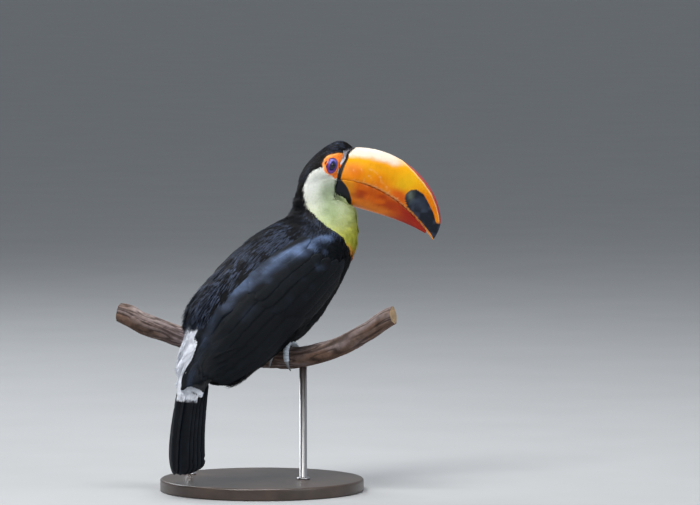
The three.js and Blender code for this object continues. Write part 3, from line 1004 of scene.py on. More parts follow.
    def _coat_depth(self, survey: Survey) -> Array:
        """Work out how far the skin lies under the solids, to leave room for the coat.

        Args:
            survey: Where the skin's points lie on the bird.

        Returns:
            A depth for each point, before face, bill, eyes and legs are set apart.
        """
        s = survey
        depth = 0.9 + 1.3 * ease(365.0, 320.0, s.height)
        throat = ease(7.0, 12.0, s.forward) * ease(-12.0, -20.0, s.up)
        keel = -38.0 - 0.14 * (s.forward - 12.0)
        throat = throat * ease(-2.0, 2.5, s.up - keel) * ease(4.0, 8.0, np.abs(s.right))
        depth = depth + 7.5 * throat
        tuck = ease(0.86, 0.92, s.share) * ease(45.0, 75.0, s.round)
        depth = depth + 4.5 * tuck * (s.points[:, 0] > -112.0)
        notch = ease(0.815, 0.850, s.share) * ease(0.985, 0.95, s.share)
        notch = notch * ease(75.0, 105.0, s.round)
        depth = depth + 11.0 * notch
        hollow = np.exp(-(((s.height - 321.0) / 14.0) ** 2)) * ease(75.0, 40.0, s.round)
        depth = depth + 2.6 * hollow * ease(0.34, 0.26, s.share)
        far_limb = ease(0.84, 0.90, s.share) * ease(-22.0, -48.0, s.angle)
        depth = depth + 3.6 * far_limb
        return depth + 1.2 * ease(0.87, 0.94, s.share) * ease(80.0, 50.0, s.round)

    def dress(self) -> None:
        """Add the skin to the scene with its markings."""
        survey = Survey(self.points)
        jitter = mottle(self.points, 2.2, 3)
        colours = body_colours(survey, jitter)
        on_wing = self.wing & (survey.share > WING_FROM)
        for limit, start in ((60.0, RUMP_FROM), (82.0, 0.82)):
            on_wing &= (survey.angle >= 0.0) | (survey.round >= limit) | (survey.share <= start)
        colours[on_wing] = wing_colours(survey, jitter)[on_wing]
        colours[self.legs] = np.array(PALETTE.foot)
        freckle = 1.0 + 0.22 * mottle(self.points, 1.7, 11)[:, None]
        colours = colours * freckle
        shape = Shape(self.points, [self.quads], colours)
        put("toucan_skin", shape, SKIN, self.flesh)


# ---- coat
class Region(Enum):
    """The tracts of the coat, each dressed as pieces of its own."""

    CROWN = "crown"
    BIB = "bib"
    NAPE = "nape"
    MANTLE = "mantle"
    BREAST = "breast"
    FLANK = "flank"
    RUMP = "rump"
    VENT = "undertail"
    SHOULDER = "wing_coverts"


@dataclass(frozen=True)
class Tract:
    """How the tufts of one tract look, in millimetres.

    Length and lift run from the least to the greatest, and grown gives the shares down
    the spine between which the tufts lengthen.
    """

    region: Region
    spacing: float
    length: tuple[float, float]
    width: float
    lift: tuple[float, float]
    locks: int
    spread: float
    finish: Finish
    slot: str
    free: float = 0.0
    steps: int = 3
    glints: float = 0.0
    unevenness: float = 0.15
    grown: tuple[float, float] = (0.28, 0.5)


TRACTS = (
    Tract(Region.CROWN, 0.95, (4.0, 8.0), 0.95, (0.15, 1.3), 2, 9.0, GLOSSY_PLUMAGE,
          "plumage_black", steps=2, glints=0.3),
    Tract(Region.BIB, 1.12, (3.2, 9.0), 1.5, (0.15, 1.8), 2, 10.0, PLUMAGE, "plumage_bib",
          steps=2, unevenness=0.04),
    Tract(Region.NAPE, 1.25, (8.0, 14.0), 1.2, (0.2, 2.4), 3, 6.0, GLOSSY_PLUMAGE,
          "plumage_black", steps=2, glints=0.36, unevenness=0.3, grown=(0.06, 0.26)),
    Tract(Region.MANTLE, 1.9, (16.0, 26.0), 1.6, (0.2, 2.9), 3, 5.0, GLOSSY_PLUMAGE,
          "plumage_black", glints=0.5, unevenness=0.3),
    Tract(Region.BREAST, 2.3, (12.0, 18.0), 2.5, (0.2, 2.6), 3, 10.0, GLOSSY_PLUMAGE,
          "plumage_black", steps=2, glints=0.012, grown=(0.28, 0.6)),
    Tract(Region.FLANK, 1.9, (13.0, 20.0), 2.1, (0.3, 5.4), 3, 9.0, GLOSSY_PLUMAGE,
          "plumage_black", free=0.35),
    Tract(Region.RUMP, 1.5, (12.0, 22.0), 1.7, (0.2, 2.6), 3, 6.0, PLUMAGE,
          "plumage_white", free=0.12, unevenness=0.04),
    Tract(Region.VENT, 1.7, (9.0, 14.0), 1.9, (0.2, 1.4), 3, 9.0, PLUMAGE, "plumage_red",
          free=0.1, steps=2, grown=(0.80, 0.95)),
    Tract(Region.SHOULDER, 1.8, (8.0, 13.0), 2.5, (0.2, 2.0), 3, 8.0, GLOSSY_PLUMAGE,
          "wing_feathers", steps=2, unevenness=0.1),
)


def blades(path: Array, normals: Array, width: Array) -> tuple[Array, list[Array]]:
    """Make one closed, three-edged blade along each path.

    Args:
        path: Points in the order [blade, station, xyz].
        normals: Directions out of the coat at the same places.
        width: The greatest width of each blade.

    Returns:
        The points in the order [blade, point, xyz], and the faces of the first blade.
    """
    count, stations, _ = path.shape
    last = stations - 1
    side = unit(np.cross(normals, unit(np.gradient(path, axis=1))))[:, :last]
    t = np.arange(last) / last
    profile = 0.35 + 0.65 * np.sin(math.pi * np.clip(0.12 + 0.75 * t, 0.0, 1.0))
    half = 0.5 * width[:, None, None] * profile[None, :, None]
    middle = path[:, :last]
    rows = np.stack([
        middle + side * half, middle - side * half, middle + normals[:, :last] * half * BLADE_RIDGE,
    ], axis=2).reshape(count, 3 * last, 3)
    points = np.concatenate([rows, path[:, last:]], axis=1)
    edges = ((0, 2), (2, 1), (1, 0))
    quads = [
        [3 * j + a, 3 * j + b, 3 * j + 3 + b, 3 * j + 3 + a]
        for j in range(last - 1) for a, b in edges
    ]
    tips = [[3 * last - 3 + a, 3 * last - 3 + b, 3 * last] for a, b in edges]
    return points, [np.array(quads), np.array(tips + [[0, 1, 2]])]


def unwrap(survey: Survey) -> Array:
    """Lay the bird's own surface out flat: the body in one island, the head in another.

    Args:
        survey: Where the points lie.

    Returns:
        One [u, v] place of the bake map for each point.
    """
    body = np.stack([0.03 + 0.56 * survey.share, 0.5 + survey.angle / 380.0], axis=1)
    turn = np.degrees(np.arctan2(survey.right, -survey.forward))
    head = np.stack([0.81 + turn / 1100.0, 0.5 + survey.up / 90.0], axis=1)
    return np.where((survey.height > HEAD_FROM)[:, None], head, body)


@dataclass
class Coat:
    """The small feathers, rooted all over the skin."""

    skin: Skin
    seed: int = 20
    most_blades: int = 11500

    def __post_init__(self) -> None:
        """Start the row of random numbers."""
        self.random = np.random.default_rng(self.seed)

    def _regions(self, survey: Survey, legs: Array, horn: Array, wing: Array) -> Array:
        """Name the tract of each face of the skin.

        Args:
            survey: Where the faces lie on the bird.
            legs: Which faces are leg or foot.
            horn: Which are bill.
            wing: Which are wing.

        Returns:
            A Region for each face, or None where nothing grows.
        """
        s = survey
        region = np.full(len(s.points), Region.BREAST, object)
        back = s.round < 96.0
        region[back] = Region.MANTLE
        region[(s.share < 0.30) & back] = Region.NAPE
        region[(s.turned > RUMP_FROM) & back] = Region.RUMP
        region[(s.share > 0.70) & (s.share < 0.80) & ~back & (s.round < 140.0)] = Region.FLANK
        region[(s.share >= 0.80) & ~back] = Region.VENT
        region[(s.share > 0.9) & (s.points[:, 0] < -114.0)] = Region.RUMP
        low_wing = wing & (s.share > WING_FROM)
        region[low_wing] = None
        region[low_wing & (s.share < 0.56)] = Region.SHOULDER
        left_wing = low_wing & (s.angle < 0.0)
        region[left_wing & (s.round < 62.0) & (s.turned < RUMP_FROM)] = Region.MANTLE
        region[left_wing & (s.round < 58.0) & (s.turned > RUMP_FROM)] = Region.RUMP
        region[left_wing & (s.round < 82.0) & (s.share > 0.82)] = Region.RUMP
        region[s.height > HEAD_FROM] = Region.CROWN
        region[(s.bib() > -2.0) | ((s.lore() > -0.5) & (s.height > 360.0))] = Region.BIB
        region[legs | horn | (s.bare() > -0.4)] = None
        return region

    def _scatter(self, keep: Array, spacing: float) -> tuple[Array, Array]:
        """Spread roots over some faces of the skin, about evenly.

        Args:
            keep: Which faces take part.
            spacing: The distance between roots.

        Returns:
            The roots and the faces that they stand on.
        """
        corners = self.skin.points[self.skin.quads[keep]]
        spans = corners[:, 2] - corners[:, 0], corners[:, 3] - corners[:, 1]
        area = np.linalg.norm(np.cross(*spans), axis=1) / 2
        total = int(area.sum() / spacing**2 * 2.6)
        pick = self.random.choice(len(corners), total, p=area / area.sum())
        u, v = self.random.random((2, total, 1))
        c = corners[pick]
        roots = (c[:, 0] * (1 - u) + c[:, 1] * u) * (1 - v) + (c[:, 3] * (1 - u) + c[:, 2] * u) * v
        cells = np.floor(roots / (spacing * 0.92)).astype(np.int64)
        first = np.unique(scramble(cells), return_index=True)[1]
        return roots[first], np.flatnonzero(keep)[pick[first]]

    def _lie(self, survey: Survey, normals: Array) -> Array:
        """Work out the way that the coat lies.

        Args:
            survey: Where the roots stand.
            normals: The skin's normals there.

        Returns:
            Unit vectors along the skin.
        """
        matrix = HEAD.matrix
        head = -0.72 * matrix[:, 0] - 0.60 * matrix[:, 2]
        crown = -1.0 * matrix[:, 0] - 0.1 * matrix[:, 2]
        on_head = mix(head, crown, ease(2.0, 18.0, survey.up))
        body = BODY.spine(survey.share)
        belly = ease(110.0, 170.0, survey.round)
        body = body + np.array([-0.25, 0.0, 0.1]) * belly[:, None]
        way = mix(body, unit(on_head), survey.on_head)
        way = way - normals * np.sum(way * normals, axis=1, keepdims=True)
        return unit(way)

    def _lay(
        self, roots: Array, way: Array, length: Array, tract: Tract, reach: Array
    ) -> tuple[Array, Array]:
        """Run each lock along the skin from its root.

        Args:
            roots: Places on the skin.
            way: The heading of each lock.
            length: The length of each lock.
            tract: The tract's sizes.
            reach: How high each tip stands over the skin.

        Returns:
            Paths and normals in the order [lock, station, xyz].
        """
        near = self.skin.tree.find_nearest
        path, normals = [], []
        spot, heading = roots.copy(), way.copy()
        for k in range(tract.steps + 1):
            t = k / tract.steps
            guess = spot + heading * (length / tract.steps)[:, None] * (k > 0)
            hits = [near(Vector(g)) for g in guess]
            found = np.array([h[0] for h in hits])
            normal = np.array([h[1] for h in hits])
            if k:
                found = found + (guess - found) * tract.free * t
                heading = unit(mix(heading, unit(found - spot), 1.0 - tract.free * 0.6))
                normal = unit(mix(normal, normals[-1], 0.35))
            spot = found
            lift = tract.lift[0] + (reach - tract.lift[0]) * t**0.85
            path.append(spot + normal * lift[:, None])
            normals.append(normal)
        return np.stack(path, axis=1), np.stack(normals, axis=1)

    def _grow(self, tract: Tract, roots: Array, normals: Array) -> Shape:
        """Make the locks of one piece of the coat.

        Args:
            tract: The tract that they belong to.
            roots: Where the tufts stand on the skin.
            normals: The skin's normals there.

        Returns:
            All of them as one shape.
        """
        draw = self.random
        survey = Survey(roots)
        count = len(roots)
        ripe = self._ripeness(tract, survey)
        length = tract.length[0] + (tract.length[1] - tract.length[0]) * ripe
        way = self._lie(survey, normals)
        side = np.cross(normals, way)
        paint = wing_colours if tract.region is Region.SHOULDER else body_colours
        colours = paint(survey, draw.uniform(-1.0, 1.0, count))
        patches = unwrap(survey)
        glint_patches = ease(-0.5, 0.6, mottle(roots, 9.0, 31) + 0.5 * mottle(roots, 4.0, 32))
        clumps = (1.0 + 0.4 * mottle(roots, 7.0, 17)) * self._fullness(tract.region, survey)
        rough = tract.unevenness
        parts: list[Shape] = []
        for lock in range(tract.locks):
            fan = (lock - (tract.locks - 1) / 2) * tract.spread
            angle = np.radians(fan + draw.normal(0.0, 5.0, count))
            heading = unit(way * np.cos(angle)[:, None] + side * np.sin(angle)[:, None])
            size = length * draw.uniform(0.78, 1.12, count)
            reach = tract.lift[1] * draw.uniform(0.78, 1.1, count) * clumps
            offset = side * (draw.uniform(-0.5, 0.5, count) * tract.spacing * 0.8)[:, None]
            path, out = self._lay(roots + offset, heading, size, tract, reach)
            width = tract.width * draw.uniform(0.75, 1.2, count) * (0.62 + 0.38 * ripe)
            points, faces = blades(path, out, width)
            each = points.shape[1]
            starts = (np.arange(count) * each)[:, None, None]
            tone = colours * draw.uniform(1.0 - rough, 1.0 + rough, (count, 1))
            # Painted sheen: some locks, more of them in patches, take a pale blue streak colour, which
            # stands both for pale streaks in the plumage and for painted highlights on the black
            # feathers.
            glint = draw.random(count) < tract.glints * 1.6 * glint_patches
            glint = glint * draw.uniform(0.3, 1.0, count)
            tone = mix(tone, PALETTE.streak_and_sheen, glint * (tone.max(1) < 0.08))
            shade = np.linspace(1.0 - 0.8 * rough, 1.0 + 0.5 * rough, each)[None, :, None]
            spot = np.stack([np.arange(each) % 3, np.arange(each) / each * 2.0], axis=1)
            spot = (spot / 2.0 - 0.5) * TUFT_PATCH
            parts.append(Shape(
                points.reshape(-1, 3),
                [(f[None] + starts).reshape(-1, f.shape[1]) for f in faces],
                (tone[:, None] * shade).reshape(-1, 3),
                (patches[:, None] + spot[None]).reshape(-1, 2),
                smooth=False,
            ))
        return merged(parts)

    def _fullness(self, region: Region, s: Survey) -> Array:
        """Work out how far the coat stands out.

        Args:
            region: The tract.
            s: Where its tufts stand.

        Returns:
            A share of the tract's usual lift for each tuft.
        """
        if region is Region.BIB:
            return 1.0 + 1.5 * ease(110.0, 160.0, s.round) * ease(356.0, 336.0, s.height)
        if region in (Region.NAPE, Region.CROWN):
            low = ease(318.0, 344.0, s.height) * ease(378.0, 358.0, s.height)
            bump = 1.8 * low * ease(70.0, 45.0, s.round) * ease(25.0, 0.0, s.angle)
            return (1.0 + bump) * (1.0 - 0.55 * ease(-16.0, -2.0, s.bib()))
        if region is Region.MANTLE:
            bump = ease(0.52, 0.63, s.share) * ease(0.725, 0.655, s.share)
            return 1.0 + 2.5 * (bump * ease(35.0, 5.0, s.angle)) * ease(75.0, 50.0, s.round)
        if region is Region.RUMP:
            low = 1.2 + 1.5 * ease(0.76, 0.82, s.share) - 2.3 * ease(0.86, 0.93, s.share)
            far_limb = ease(0.84, 0.90, s.share) * ease(12.0, 17.0, s.points[:, 1])
            return low * np.where(s.angle > 12.0, 0.3, 1.0) * (1.0 - 0.8 * far_limb)
        if region is Region.FLANK:
            return (0.5 + 1.0 * ease(0.70, 0.76, s.share)) * ease(0.835, 0.775, s.share)
        return np.ones(len(s.points))

    def _ripeness(self, tract: Tract, s: Survey) -> Array:
        """Work out how long the tufts have grown.

        Args:
            tract: The tract that they belong to.
            s: Where they stand.

        Returns:
            From 0, the tract's least length, to 1, its greatest.
        """
        region = tract.region
        if region is Region.CROWN:
            return ease(14.0, 40.0, s.face)
        if region is Region.BIB:
            inner = ease(372.0, 320.0, s.height) * ease(12.0, 34.0, s.face)
            return inner * ease(-2.0, 14.0, s.bib())
        if region is Region.RUMP:
            middle = ease(0.74, 0.86, s.share) * ease(1.02, 0.92, s.share)
            return middle * (1.0 - 0.9 * ease(8.0, 26.0, s.angle))
        if region is Region.FLANK:
            return ease(0.70, 0.75, s.share) * ease(0.825, 0.77, s.share)
        return ease(*tract.grown, s.share)

    def build(self) -> None:
        """Grow every tract and add it to the scene."""
        skin = self.skin
        middle = skin.points[skin.quads].mean(1)
        survey = Survey(middle)
        flags = [mask[skin.quads].mean(1) > 0.4 for mask in (skin.legs, skin.horn, skin.wing)]
        region = self._regions(survey, *flags)
        for tract in TRACTS:
            keep = region == tract.region
            roots, faces = self._scatter(keep, tract.spacing)
            normals = unit(skin.normals[skin.quads[faces]].mean(1))
            room = self.most_blades // tract.locks
            order = np.argsort(survey.angle[faces], kind="stable")
            parts = max(1, math.ceil(len(roots) / room))
            for k, rows in enumerate(np.array_split(order, parts)):
                shape = self._grow(tract, roots[rows], normals[rows])
                put(f"coat_{tract.region.value}_{k + 1}", shape, tract.finish)


def wing_colours(survey: Survey, jitter: Array) -> Array:
    """Return the slate black of the wing, with a painted blue sheen along its upper edge.

    Args:
        survey: Where the points lie.
        jitter: A random number from -1 to 1 for each point.

    Returns:
        One colour for each point.
    """
    share = survey.share
    # Painted sheen: a patchy band of blue reflection along the wing's upper edge, strongest at the
    # shoulder and fading towards the tail.
    edge = np.interp(share, [0.27, 0.34, 0.43, 0.52, 0.65, 0.8], [72, 56, 49, 38, 26, 20])
    into = np.abs(survey.angle) - edge
    strength = np.interp(
        share, [0.27, 0.32, 0.44, 0.50, 0.58, 0.66, 0.8], [0.5, 1.0, 0.85, 0.42, 0.55, 0.3, 0.1]
    )
    wide = np.interp(share, [0.27, 0.36, 0.46, 0.6], [12.0, 17.0, 20.0, 18.0])
    band = ease(-3.0, 3.0, into) * ease(wide, 0.35 * wide, into) * strength
    patchy = ease(-0.6, 0.5, mottle(survey.points, 13.0, 5)) * 0.75 + 0.25
    wisp = 0.5 * ease(0.2, 0.8, mottle(survey.points, 11.0, 6)) * ease(60.0, 20.0, into) * strength
    painted_sheen = np.clip(band * patchy + 0.35 * wisp + 0.05 * jitter * band, 0.0, 1.0)
    return mix(mix(PALETTE.black, PALETTE.slate, 0.6), PALETTE.sheen, painted_sheen)


# ---- large feathers
@dataclass
class VaneSet:
    """Builds large feathers, each a thin closed vane with a shaft."""

    stations: int = 30
    columns: int = 9
    thickness: float = 0.3

    def vane(
        self, middle: Array, out: Array, side: Array, half: float, tilt: float,
        camber: float, random: np.random.Generator, tip: float = 1.0, blunt: float = 0.55,
    ) -> Shape:
        """Make one large feather.

        Args:
            middle: Points along its shaft.
            out: Directions out of the bird at the same points.
            side: Directions across the feather towards its outer edge.
            half: Half of its greatest width.
            tilt: How far the outer edge stands above the inner edge, halved.
            camber: How far both edges fall below the shaft.
            random: Draws the nicks in its edges.
            tip: How sharply the end is rounded; more is sharper.
            blunt: Exponent of the rounding at the tip.

        Returns:
            The feather as a closed shape.
        """
        n = len(middle)
        along = np.linspace(0.0, 1.0, n)
        across = np.linspace(-1.0, 1.0, self.columns)
        width = np.clip(0.30 + 3.2 * along, 0.0, 1.0)
        end = np.clip((1.0 - along) / (0.13 * tip), 0.0, 1.0)
        width = half * width * np.maximum(np.sin(0.5 * math.pi * end) ** blunt, 0.03)
        nick = np.ones((n, 2))
        for _ in range(4):
            place, edge = random.integers(n // 3, n - 3), random.integers(0, 2)
            nick[place, edge] = random.uniform(0.84, 0.95)
        trim = np.where(across[None] < 0, nick[:, :1], nick[:, 1:])
        reach = width[:, None] * across[None] * np.where(np.abs(across) > 0.8, trim, 1.0)
        rise = tilt * across[None] - camber * across[None] ** 2
        rise = rise + 0.25 * np.exp(-((across[None] * 7.0) ** 2)) * (1.0 - 0.6 * along[:, None])
        rise = rise - 0.9 * ease(0.80, 1.0, along)[:, None]
        top = middle[:, None] + side[:, None] * reach[..., None] + out[:, None] * rise[..., None]
        back = top - out[:, None] * self.thickness * (1.0 - 0.5 * np.abs(across))[None, :, None]
        shape = loft(np.concatenate([top, back[:, ::-1]], axis=1))
        vane = np.concatenate([across, across[::-1]])
        grid = np.stack(np.broadcast_arrays(vane[None], along[:, None]), axis=2)
        ends = np.array([[0.0, 0.0], [0.0, 1.0]])
        shape.vane = np.concatenate([grid.reshape(-1, 2), ends])
        return shape

    def lay_out(self, shapes: Sequence[Shape]) -> Shape:
        """Join feathers and give each its own strip of the bake map."""
        for k, shape in enumerate(shapes):
            under = (np.arange(len(shape.vane)) % (2 * self.columns)) >= self.columns
            u = (k + 0.25 + 0.18 * shape.vane[:, 0] + 0.5 * under) / len(shapes)
            shape.patches = np.stack([u, 0.02 + 0.96 * shape.vane[:, 1]], axis=1)
        return merged(shapes)


@dataclass
class Wing:
    """One folded wing with its long feathers laid over the body."""

    side: int
    name: str
    top_edge: tuple[float, ...]
    end: float
    reach: float = 1.0
    drop: float = 0.0
    hidden: float = 0.0
    loose: float = 34.0
    tip_lift: float = 4.5
    start: float = 0.27
    low_edge: tuple[float, ...] = (96, 113, 119, 119, 116, 112, 105, 92)
    thickness: float = 6.5
    edge: float = 2.2
    seed: int = 3
    primary_tips: tuple[tuple[float, float], ...] = (
        (0.900, 76), (0.922, 62), (0.942, 50), (0.960, 38), (0.976, 24), (0.999, 4),
    )
    secondary_tips: tuple[tuple[float, float], ...] = (
        (0.905, 84), (0.915, 74), (0.922, 64), (0.926, 53), (0.925, 43), (0.918, 32),
        (0.906, 23), (0.888, 14),
    )
    covert_tips: tuple[tuple[float, float], ...] = (
        (0.555, 103), (0.580, 92), (0.602, 82), (0.618, 72), (0.625, 62), (0.622, 53),
        (0.615, 45), (0.605, 37), (0.595, 30),
    )

    def top(self, share: Array) -> Array:
        """Return the angle of the wing's upper edge at shares down the spine."""
        t = (share - self.start) / (self.end - self.start)
        return catmull(np.array(self.top_edge, float)[:, None], t)[:, 0]

    def place(self, share: Array, angle: Array, lift: Array | float) -> Array:
        """Return places on the wing.

        Args:
            share: Shares down the spine.
            angle: Degrees from the back.
            lift: Height over the wing's surface.

        Returns:
            One point for each place.
        """
        t = (share - self.start) / (self.end - self.start)
        top = self.top(share)
        low = catmull(np.array(self.low_edge, float)[:, None], t)[:, 0]
        across = np.clip((angle - top) / (low - top), 0.02, 0.98)
        swell = self.thickness * np.sin(math.pi * (0.12 + 0.76 * np.clip(t, 0, 1))) ** 0.7
        height = self.edge + swell * np.sin(math.pi * across) ** 0.6
        return BODY.point(share, -self.side * angle, height + lift)

    def _feather(
        self, vanes: VaneSet, root: tuple[float, float], tip: tuple[float, float], lift: float,
        half: float, random: np.random.Generator, bow: float = 0.0, sharp: float = 1.0,
    ) -> Shape:
        """Lay one feather from a root to a tip on the wing.

        Args:
            vanes: The builder of single feathers.
            root: Share and angle of the feather's root.
            tip: Share and angle of its tip.
            lift: Its height over the wing's surface.
            half: Half of its width.
            random: Draws its small irregularities.
            bow: Degrees that its middle lies below the straight line.
            sharp: How pointed the tip is.

        Returns:
            The feather, coloured.
        """
        run = np.linspace(0.0, 1.0, vanes.stations)
        far = 0.5 + (tip[0] - 0.5) * self.reach if tip[0] > 0.5 else tip[0]
        share = root[0] + (far - root[0]) * run
        angle = root[1] + (tip[1] - root[1]) * run + bow * np.sin(math.pi * run)
        sunk = ease(0.55, 0.9, np.full(1, tip[0]))
        angle = angle + self.drop * (1.0 - tip[1] / 110.0) * run**2 * sunk
        edge = self.top(share) + 0.5 * half + self.hidden
        angle = np.maximum(angle, edge - self.loose * ease(0.60, 0.86, share))
        lift = lift + self.tip_lift * ease(0.86, 0.99, share)
        middle = self.place(share, angle, lift)
        out = unit(self.place(share, angle, lift + 1.0) - middle)
        ahead = unit(np.gradient(middle, axis=0))
        side = unit(np.cross(out, ahead)) * -self.side
        shape = vanes.vane(middle, out, side, half, 0.3, half * half / 75.0, random, sharp)
        survey = Survey(shape.points)
        colours = wing_colours(survey, mottle(shape.points, 4.0, 9) * 0.5)
        margin = ease(0.75, 1.0, np.abs(shape.vane[:, 0]))[:, None]
        shape.colours = colours * (1.0 + 0.25 * margin) * random.uniform(0.85, 1.2)
        return shape

    def build(self) -> None:
        """Lay primaries, secondaries and coverts, and add them to the scene."""
        random = np.random.default_rng(self.seed)
        vanes = VaneSet()
        flight: list[Shape] = []
        for i, tip in enumerate(self.primary_tips):
            root = (0.60, 106.0 - 3.0 * i)
            flight.append(self._feather(vanes, root, tip, -1.5, 9.5, random, 6.0, 1.5))
        for i, tip in enumerate(self.secondary_tips):
            root = (0.47 + 0.004 * i, 100.0 - 9.6 * i)
            flight.append(self._feather(vanes, root, tip, -0.5 + 0.05 * i, 11.0, random, 3.0))
        put(f"flight_feathers_{self.name}", vanes.lay_out(flight), VANE)
        coverts: list[Shape] = []
        small = VaneSet(stations=18)
        for row in range(3):
            for i, (share, angle) in enumerate(self.covert_tips):
                tip = (share - 0.055 * row, angle - 2.0 * row + 4.0 * (row % 2))
                root = (tip[0] - 0.15 + 0.02 * row, tip[1] + 5.0)
                lift, half = 0.7 + 0.2 * row, 9.5 - 1.5 * row
                coverts.append(self._feather(small, root, tip, lift, half, random, 1.0, 1.7))
        put(f"covert_feathers_{self.name}", small.lay_out(coverts), VANE)


@dataclass
class Tail:
    """The ten long tail feathers, which slope like a low roof, and the coverts over them."""

    spine: tuple[tuple[float, float], ...] = ((-112, 150), (-121, 116), (-129, 72), (-132, 26))
    half: float = 32.0
    slope: float = 25.0
    rounding: float = 0.11
    pairs: int = 5
    feather_half: float = 12.0
    covert_rows: tuple[tuple[float, float], ...] = ((0.362, 3.0), (0.325, 3.7), (0.28, 4.3))
    covert_count: int = 9
    covert_root: float = 0.08
    covert_half: float = 5.0
    seed: int = 8

    def place(self, t: Array, across: Array, lift: Array | float) -> Array:
        """Return places on the tail.

        Args:
            t: Shares down the tail.
            across: From -1 at the right edge to 1 at the left.
            lift: Height over the feathers' middle surface.

        Returns:
            One point for each place.
        """
        length = t * (1.0 - self.rounding * np.abs(across) ** 2.4)
        x, z = catmull(np.array(self.spine, float), length).T
        half = self.half * (0.86 + 0.14 * t)
        tilt = math.radians(self.slope)
        drop = np.abs(across) * half * math.sin(tilt)
        return np.stack([x + drop - lift, across * half * math.cos(tilt), z], axis=1)

    def _out(self, side: float, count: int) -> Array:
        """Return the direction out of one slope of the roof, once for each station."""
        tilt = math.radians(self.slope) * 0.8
        return np.tile([-math.cos(tilt), side * math.sin(tilt), 0.0], (count, 1))

    def build(self) -> None:
        """Lay the feathers, the middle pair on top, then the coverts, and add them."""
        random = np.random.default_rng(self.seed)
        vanes = VaneSet(stations=46, columns=11)
        run = np.linspace(0.0, 1.0, vanes.stations)
        shapes: list[Shape] = []
        for i in reversed(range(self.pairs)):
            for side in (1, -1):
                fan = side * (0.20 + 0.15 * i) * (0.72 + 0.28 * run)
                lift = 1.3 - 0.75 * i + (0.25 if side > 0 else 0.0)
                middle = self.place(run * random.uniform(0.985, 1.0), fan, lift)
                out = self._out(side, len(run))
                way = unit(np.cross(out, unit(np.gradient(middle, axis=0)))) * side
                way = np.where((way[:, 1] * side < 0)[:, None], -way, way)
                shape = vanes.vane(middle, out, way, self.feather_half, 0.5, 0.5, random, 0.75, 0.6)
                self._paint(shape, i < 2)
                shapes.append(shape)
        put("tail_feathers", vanes.lay_out(shapes), VANE, ["tail"])
        self._coverts(random)

    def _paint(self, shape: Shape, middle: bool) -> None:
        """Paint one tail feather.

        Args:
            shape: The feather, whose colours are set in place.
            middle: Whether it is one of the middle ones, which are white at the root.
        """
        points, across = shape.points, shape.vane[:, 0]
        shaft = np.exp(-((across * 10.0) ** 2))[:, None]
        margin = ease(0.8, 1.0, np.abs(across))[:, None]
        base = np.array(PALETTE.tail) * (0.9 + 0.3 * mottle(points, 9.0, 4)[:, None])
        ragged = points[:, 2] + 1.5 * mottle(points, 2.5, 12)
        dark = base * (1.0 + 0.8 * margin + 2.2 * shaft)
        shape.colours = mix(dark, PALETTE.snow, ease(112.5, 114.5, ragged) * middle)

    def _coverts(self, random: np.random.Generator) -> None:
        """Lay the short white feathers over the tail's root, and add them to the scene.

        Args:
            random: Draws their small irregularities.
        """
        vanes = VaneSet(stations=18)
        run = np.linspace(0.0, 1.0, vanes.stations)
        shapes: list[Shape] = []
        for row, (end, lift) in enumerate(self.covert_rows):
            for k in range(self.covert_count - row):
                across = -0.62 + 0.06 * row + 0.14 * k
                top = 0.9 + 1.5 * math.exp(-((across / 0.3) ** 2))
                reach = end + random.uniform(-0.012, 0.008) - self.covert_root
                height = lift + top * (1.0 - 0.4 * run)
                middle = self.place(self.covert_root + reach * run, np.full(len(run), across), height)
                out = self._out(1.0 if across > 0.0 else -1.0, len(run))
                way = unit(np.cross(out, unit(np.gradient(middle, axis=0))))
                shape = vanes.vane(middle, out, way, self.covert_half, 0.2, 0.5, random, 1.6)
                snow = np.array(PALETTE.snow) * random.uniform(0.9, 1.05)
                shape.colours = np.tile(snow, (len(shape.points), 1))
                shapes.append(shape)
        put("tail_coverts", vanes.lay_out(shapes), VANE)


# ---- bill
@dataclass(frozen=True)
class BillPalette:
    """The colours of the bill's horn."""

    gold: Colour = (0.98, 0.33, 0.001)
    deep_gold: Colour = (0.94, 0.235, 0.001)
    bright_gold: Colour = (1.0, 0.46, 0.002)
    patch_gold: Colour = (1.0, 0.53, 0.008)
    ember: Colour = (0.80, 0.10, 0.004)
    # Painted highlight: the pale glare over the bill's top.
    painted_glare: Colour = (0.86, 0.79, 0.67)
    ridge: Colour = (0.40, 0.024, 0.036)
    # Painted highlights: a glint on the red ridge and a pale line just below it.
    ridge_glint: Colour = (0.60, 0.20, 0.22)
    ridge_highlight: Colour = (0.97, 0.70, 0.40)
    lip: Colour = (0.92, 0.42, 0.15)
    scratch: Colour = (0.98, 0.60, 0.26)
    tip: Colour = (0.009, 0.012, 0.021)
    tip_cloud: Colour = (0.040, 0.052, 0.082)
    # Painted highlight: a paler sheen spot on the black tip.
    tip_highlight: Colour = (0.045, 0.058, 0.090)
    tip_ghost: Colour = (0.17, 0.21, 0.17)
    root: Colour = (0.006, 0.005, 0.006)
    rust: Colour = (0.70, 0.125, 0.001)
    deep_rust: Colour = (0.48, 0.055, 0.001)
    olive: Colour = (0.74, 0.30, 0.008)
    keel: Colour = (0.88, 0.24, 0.010)
    wine: Colour = (0.36, 0.014, 0.008)
    low_lip: Colour = (0.80, 0.34, 0.12)
    low_root: Colour = (0.010, 0.012, 0.019)


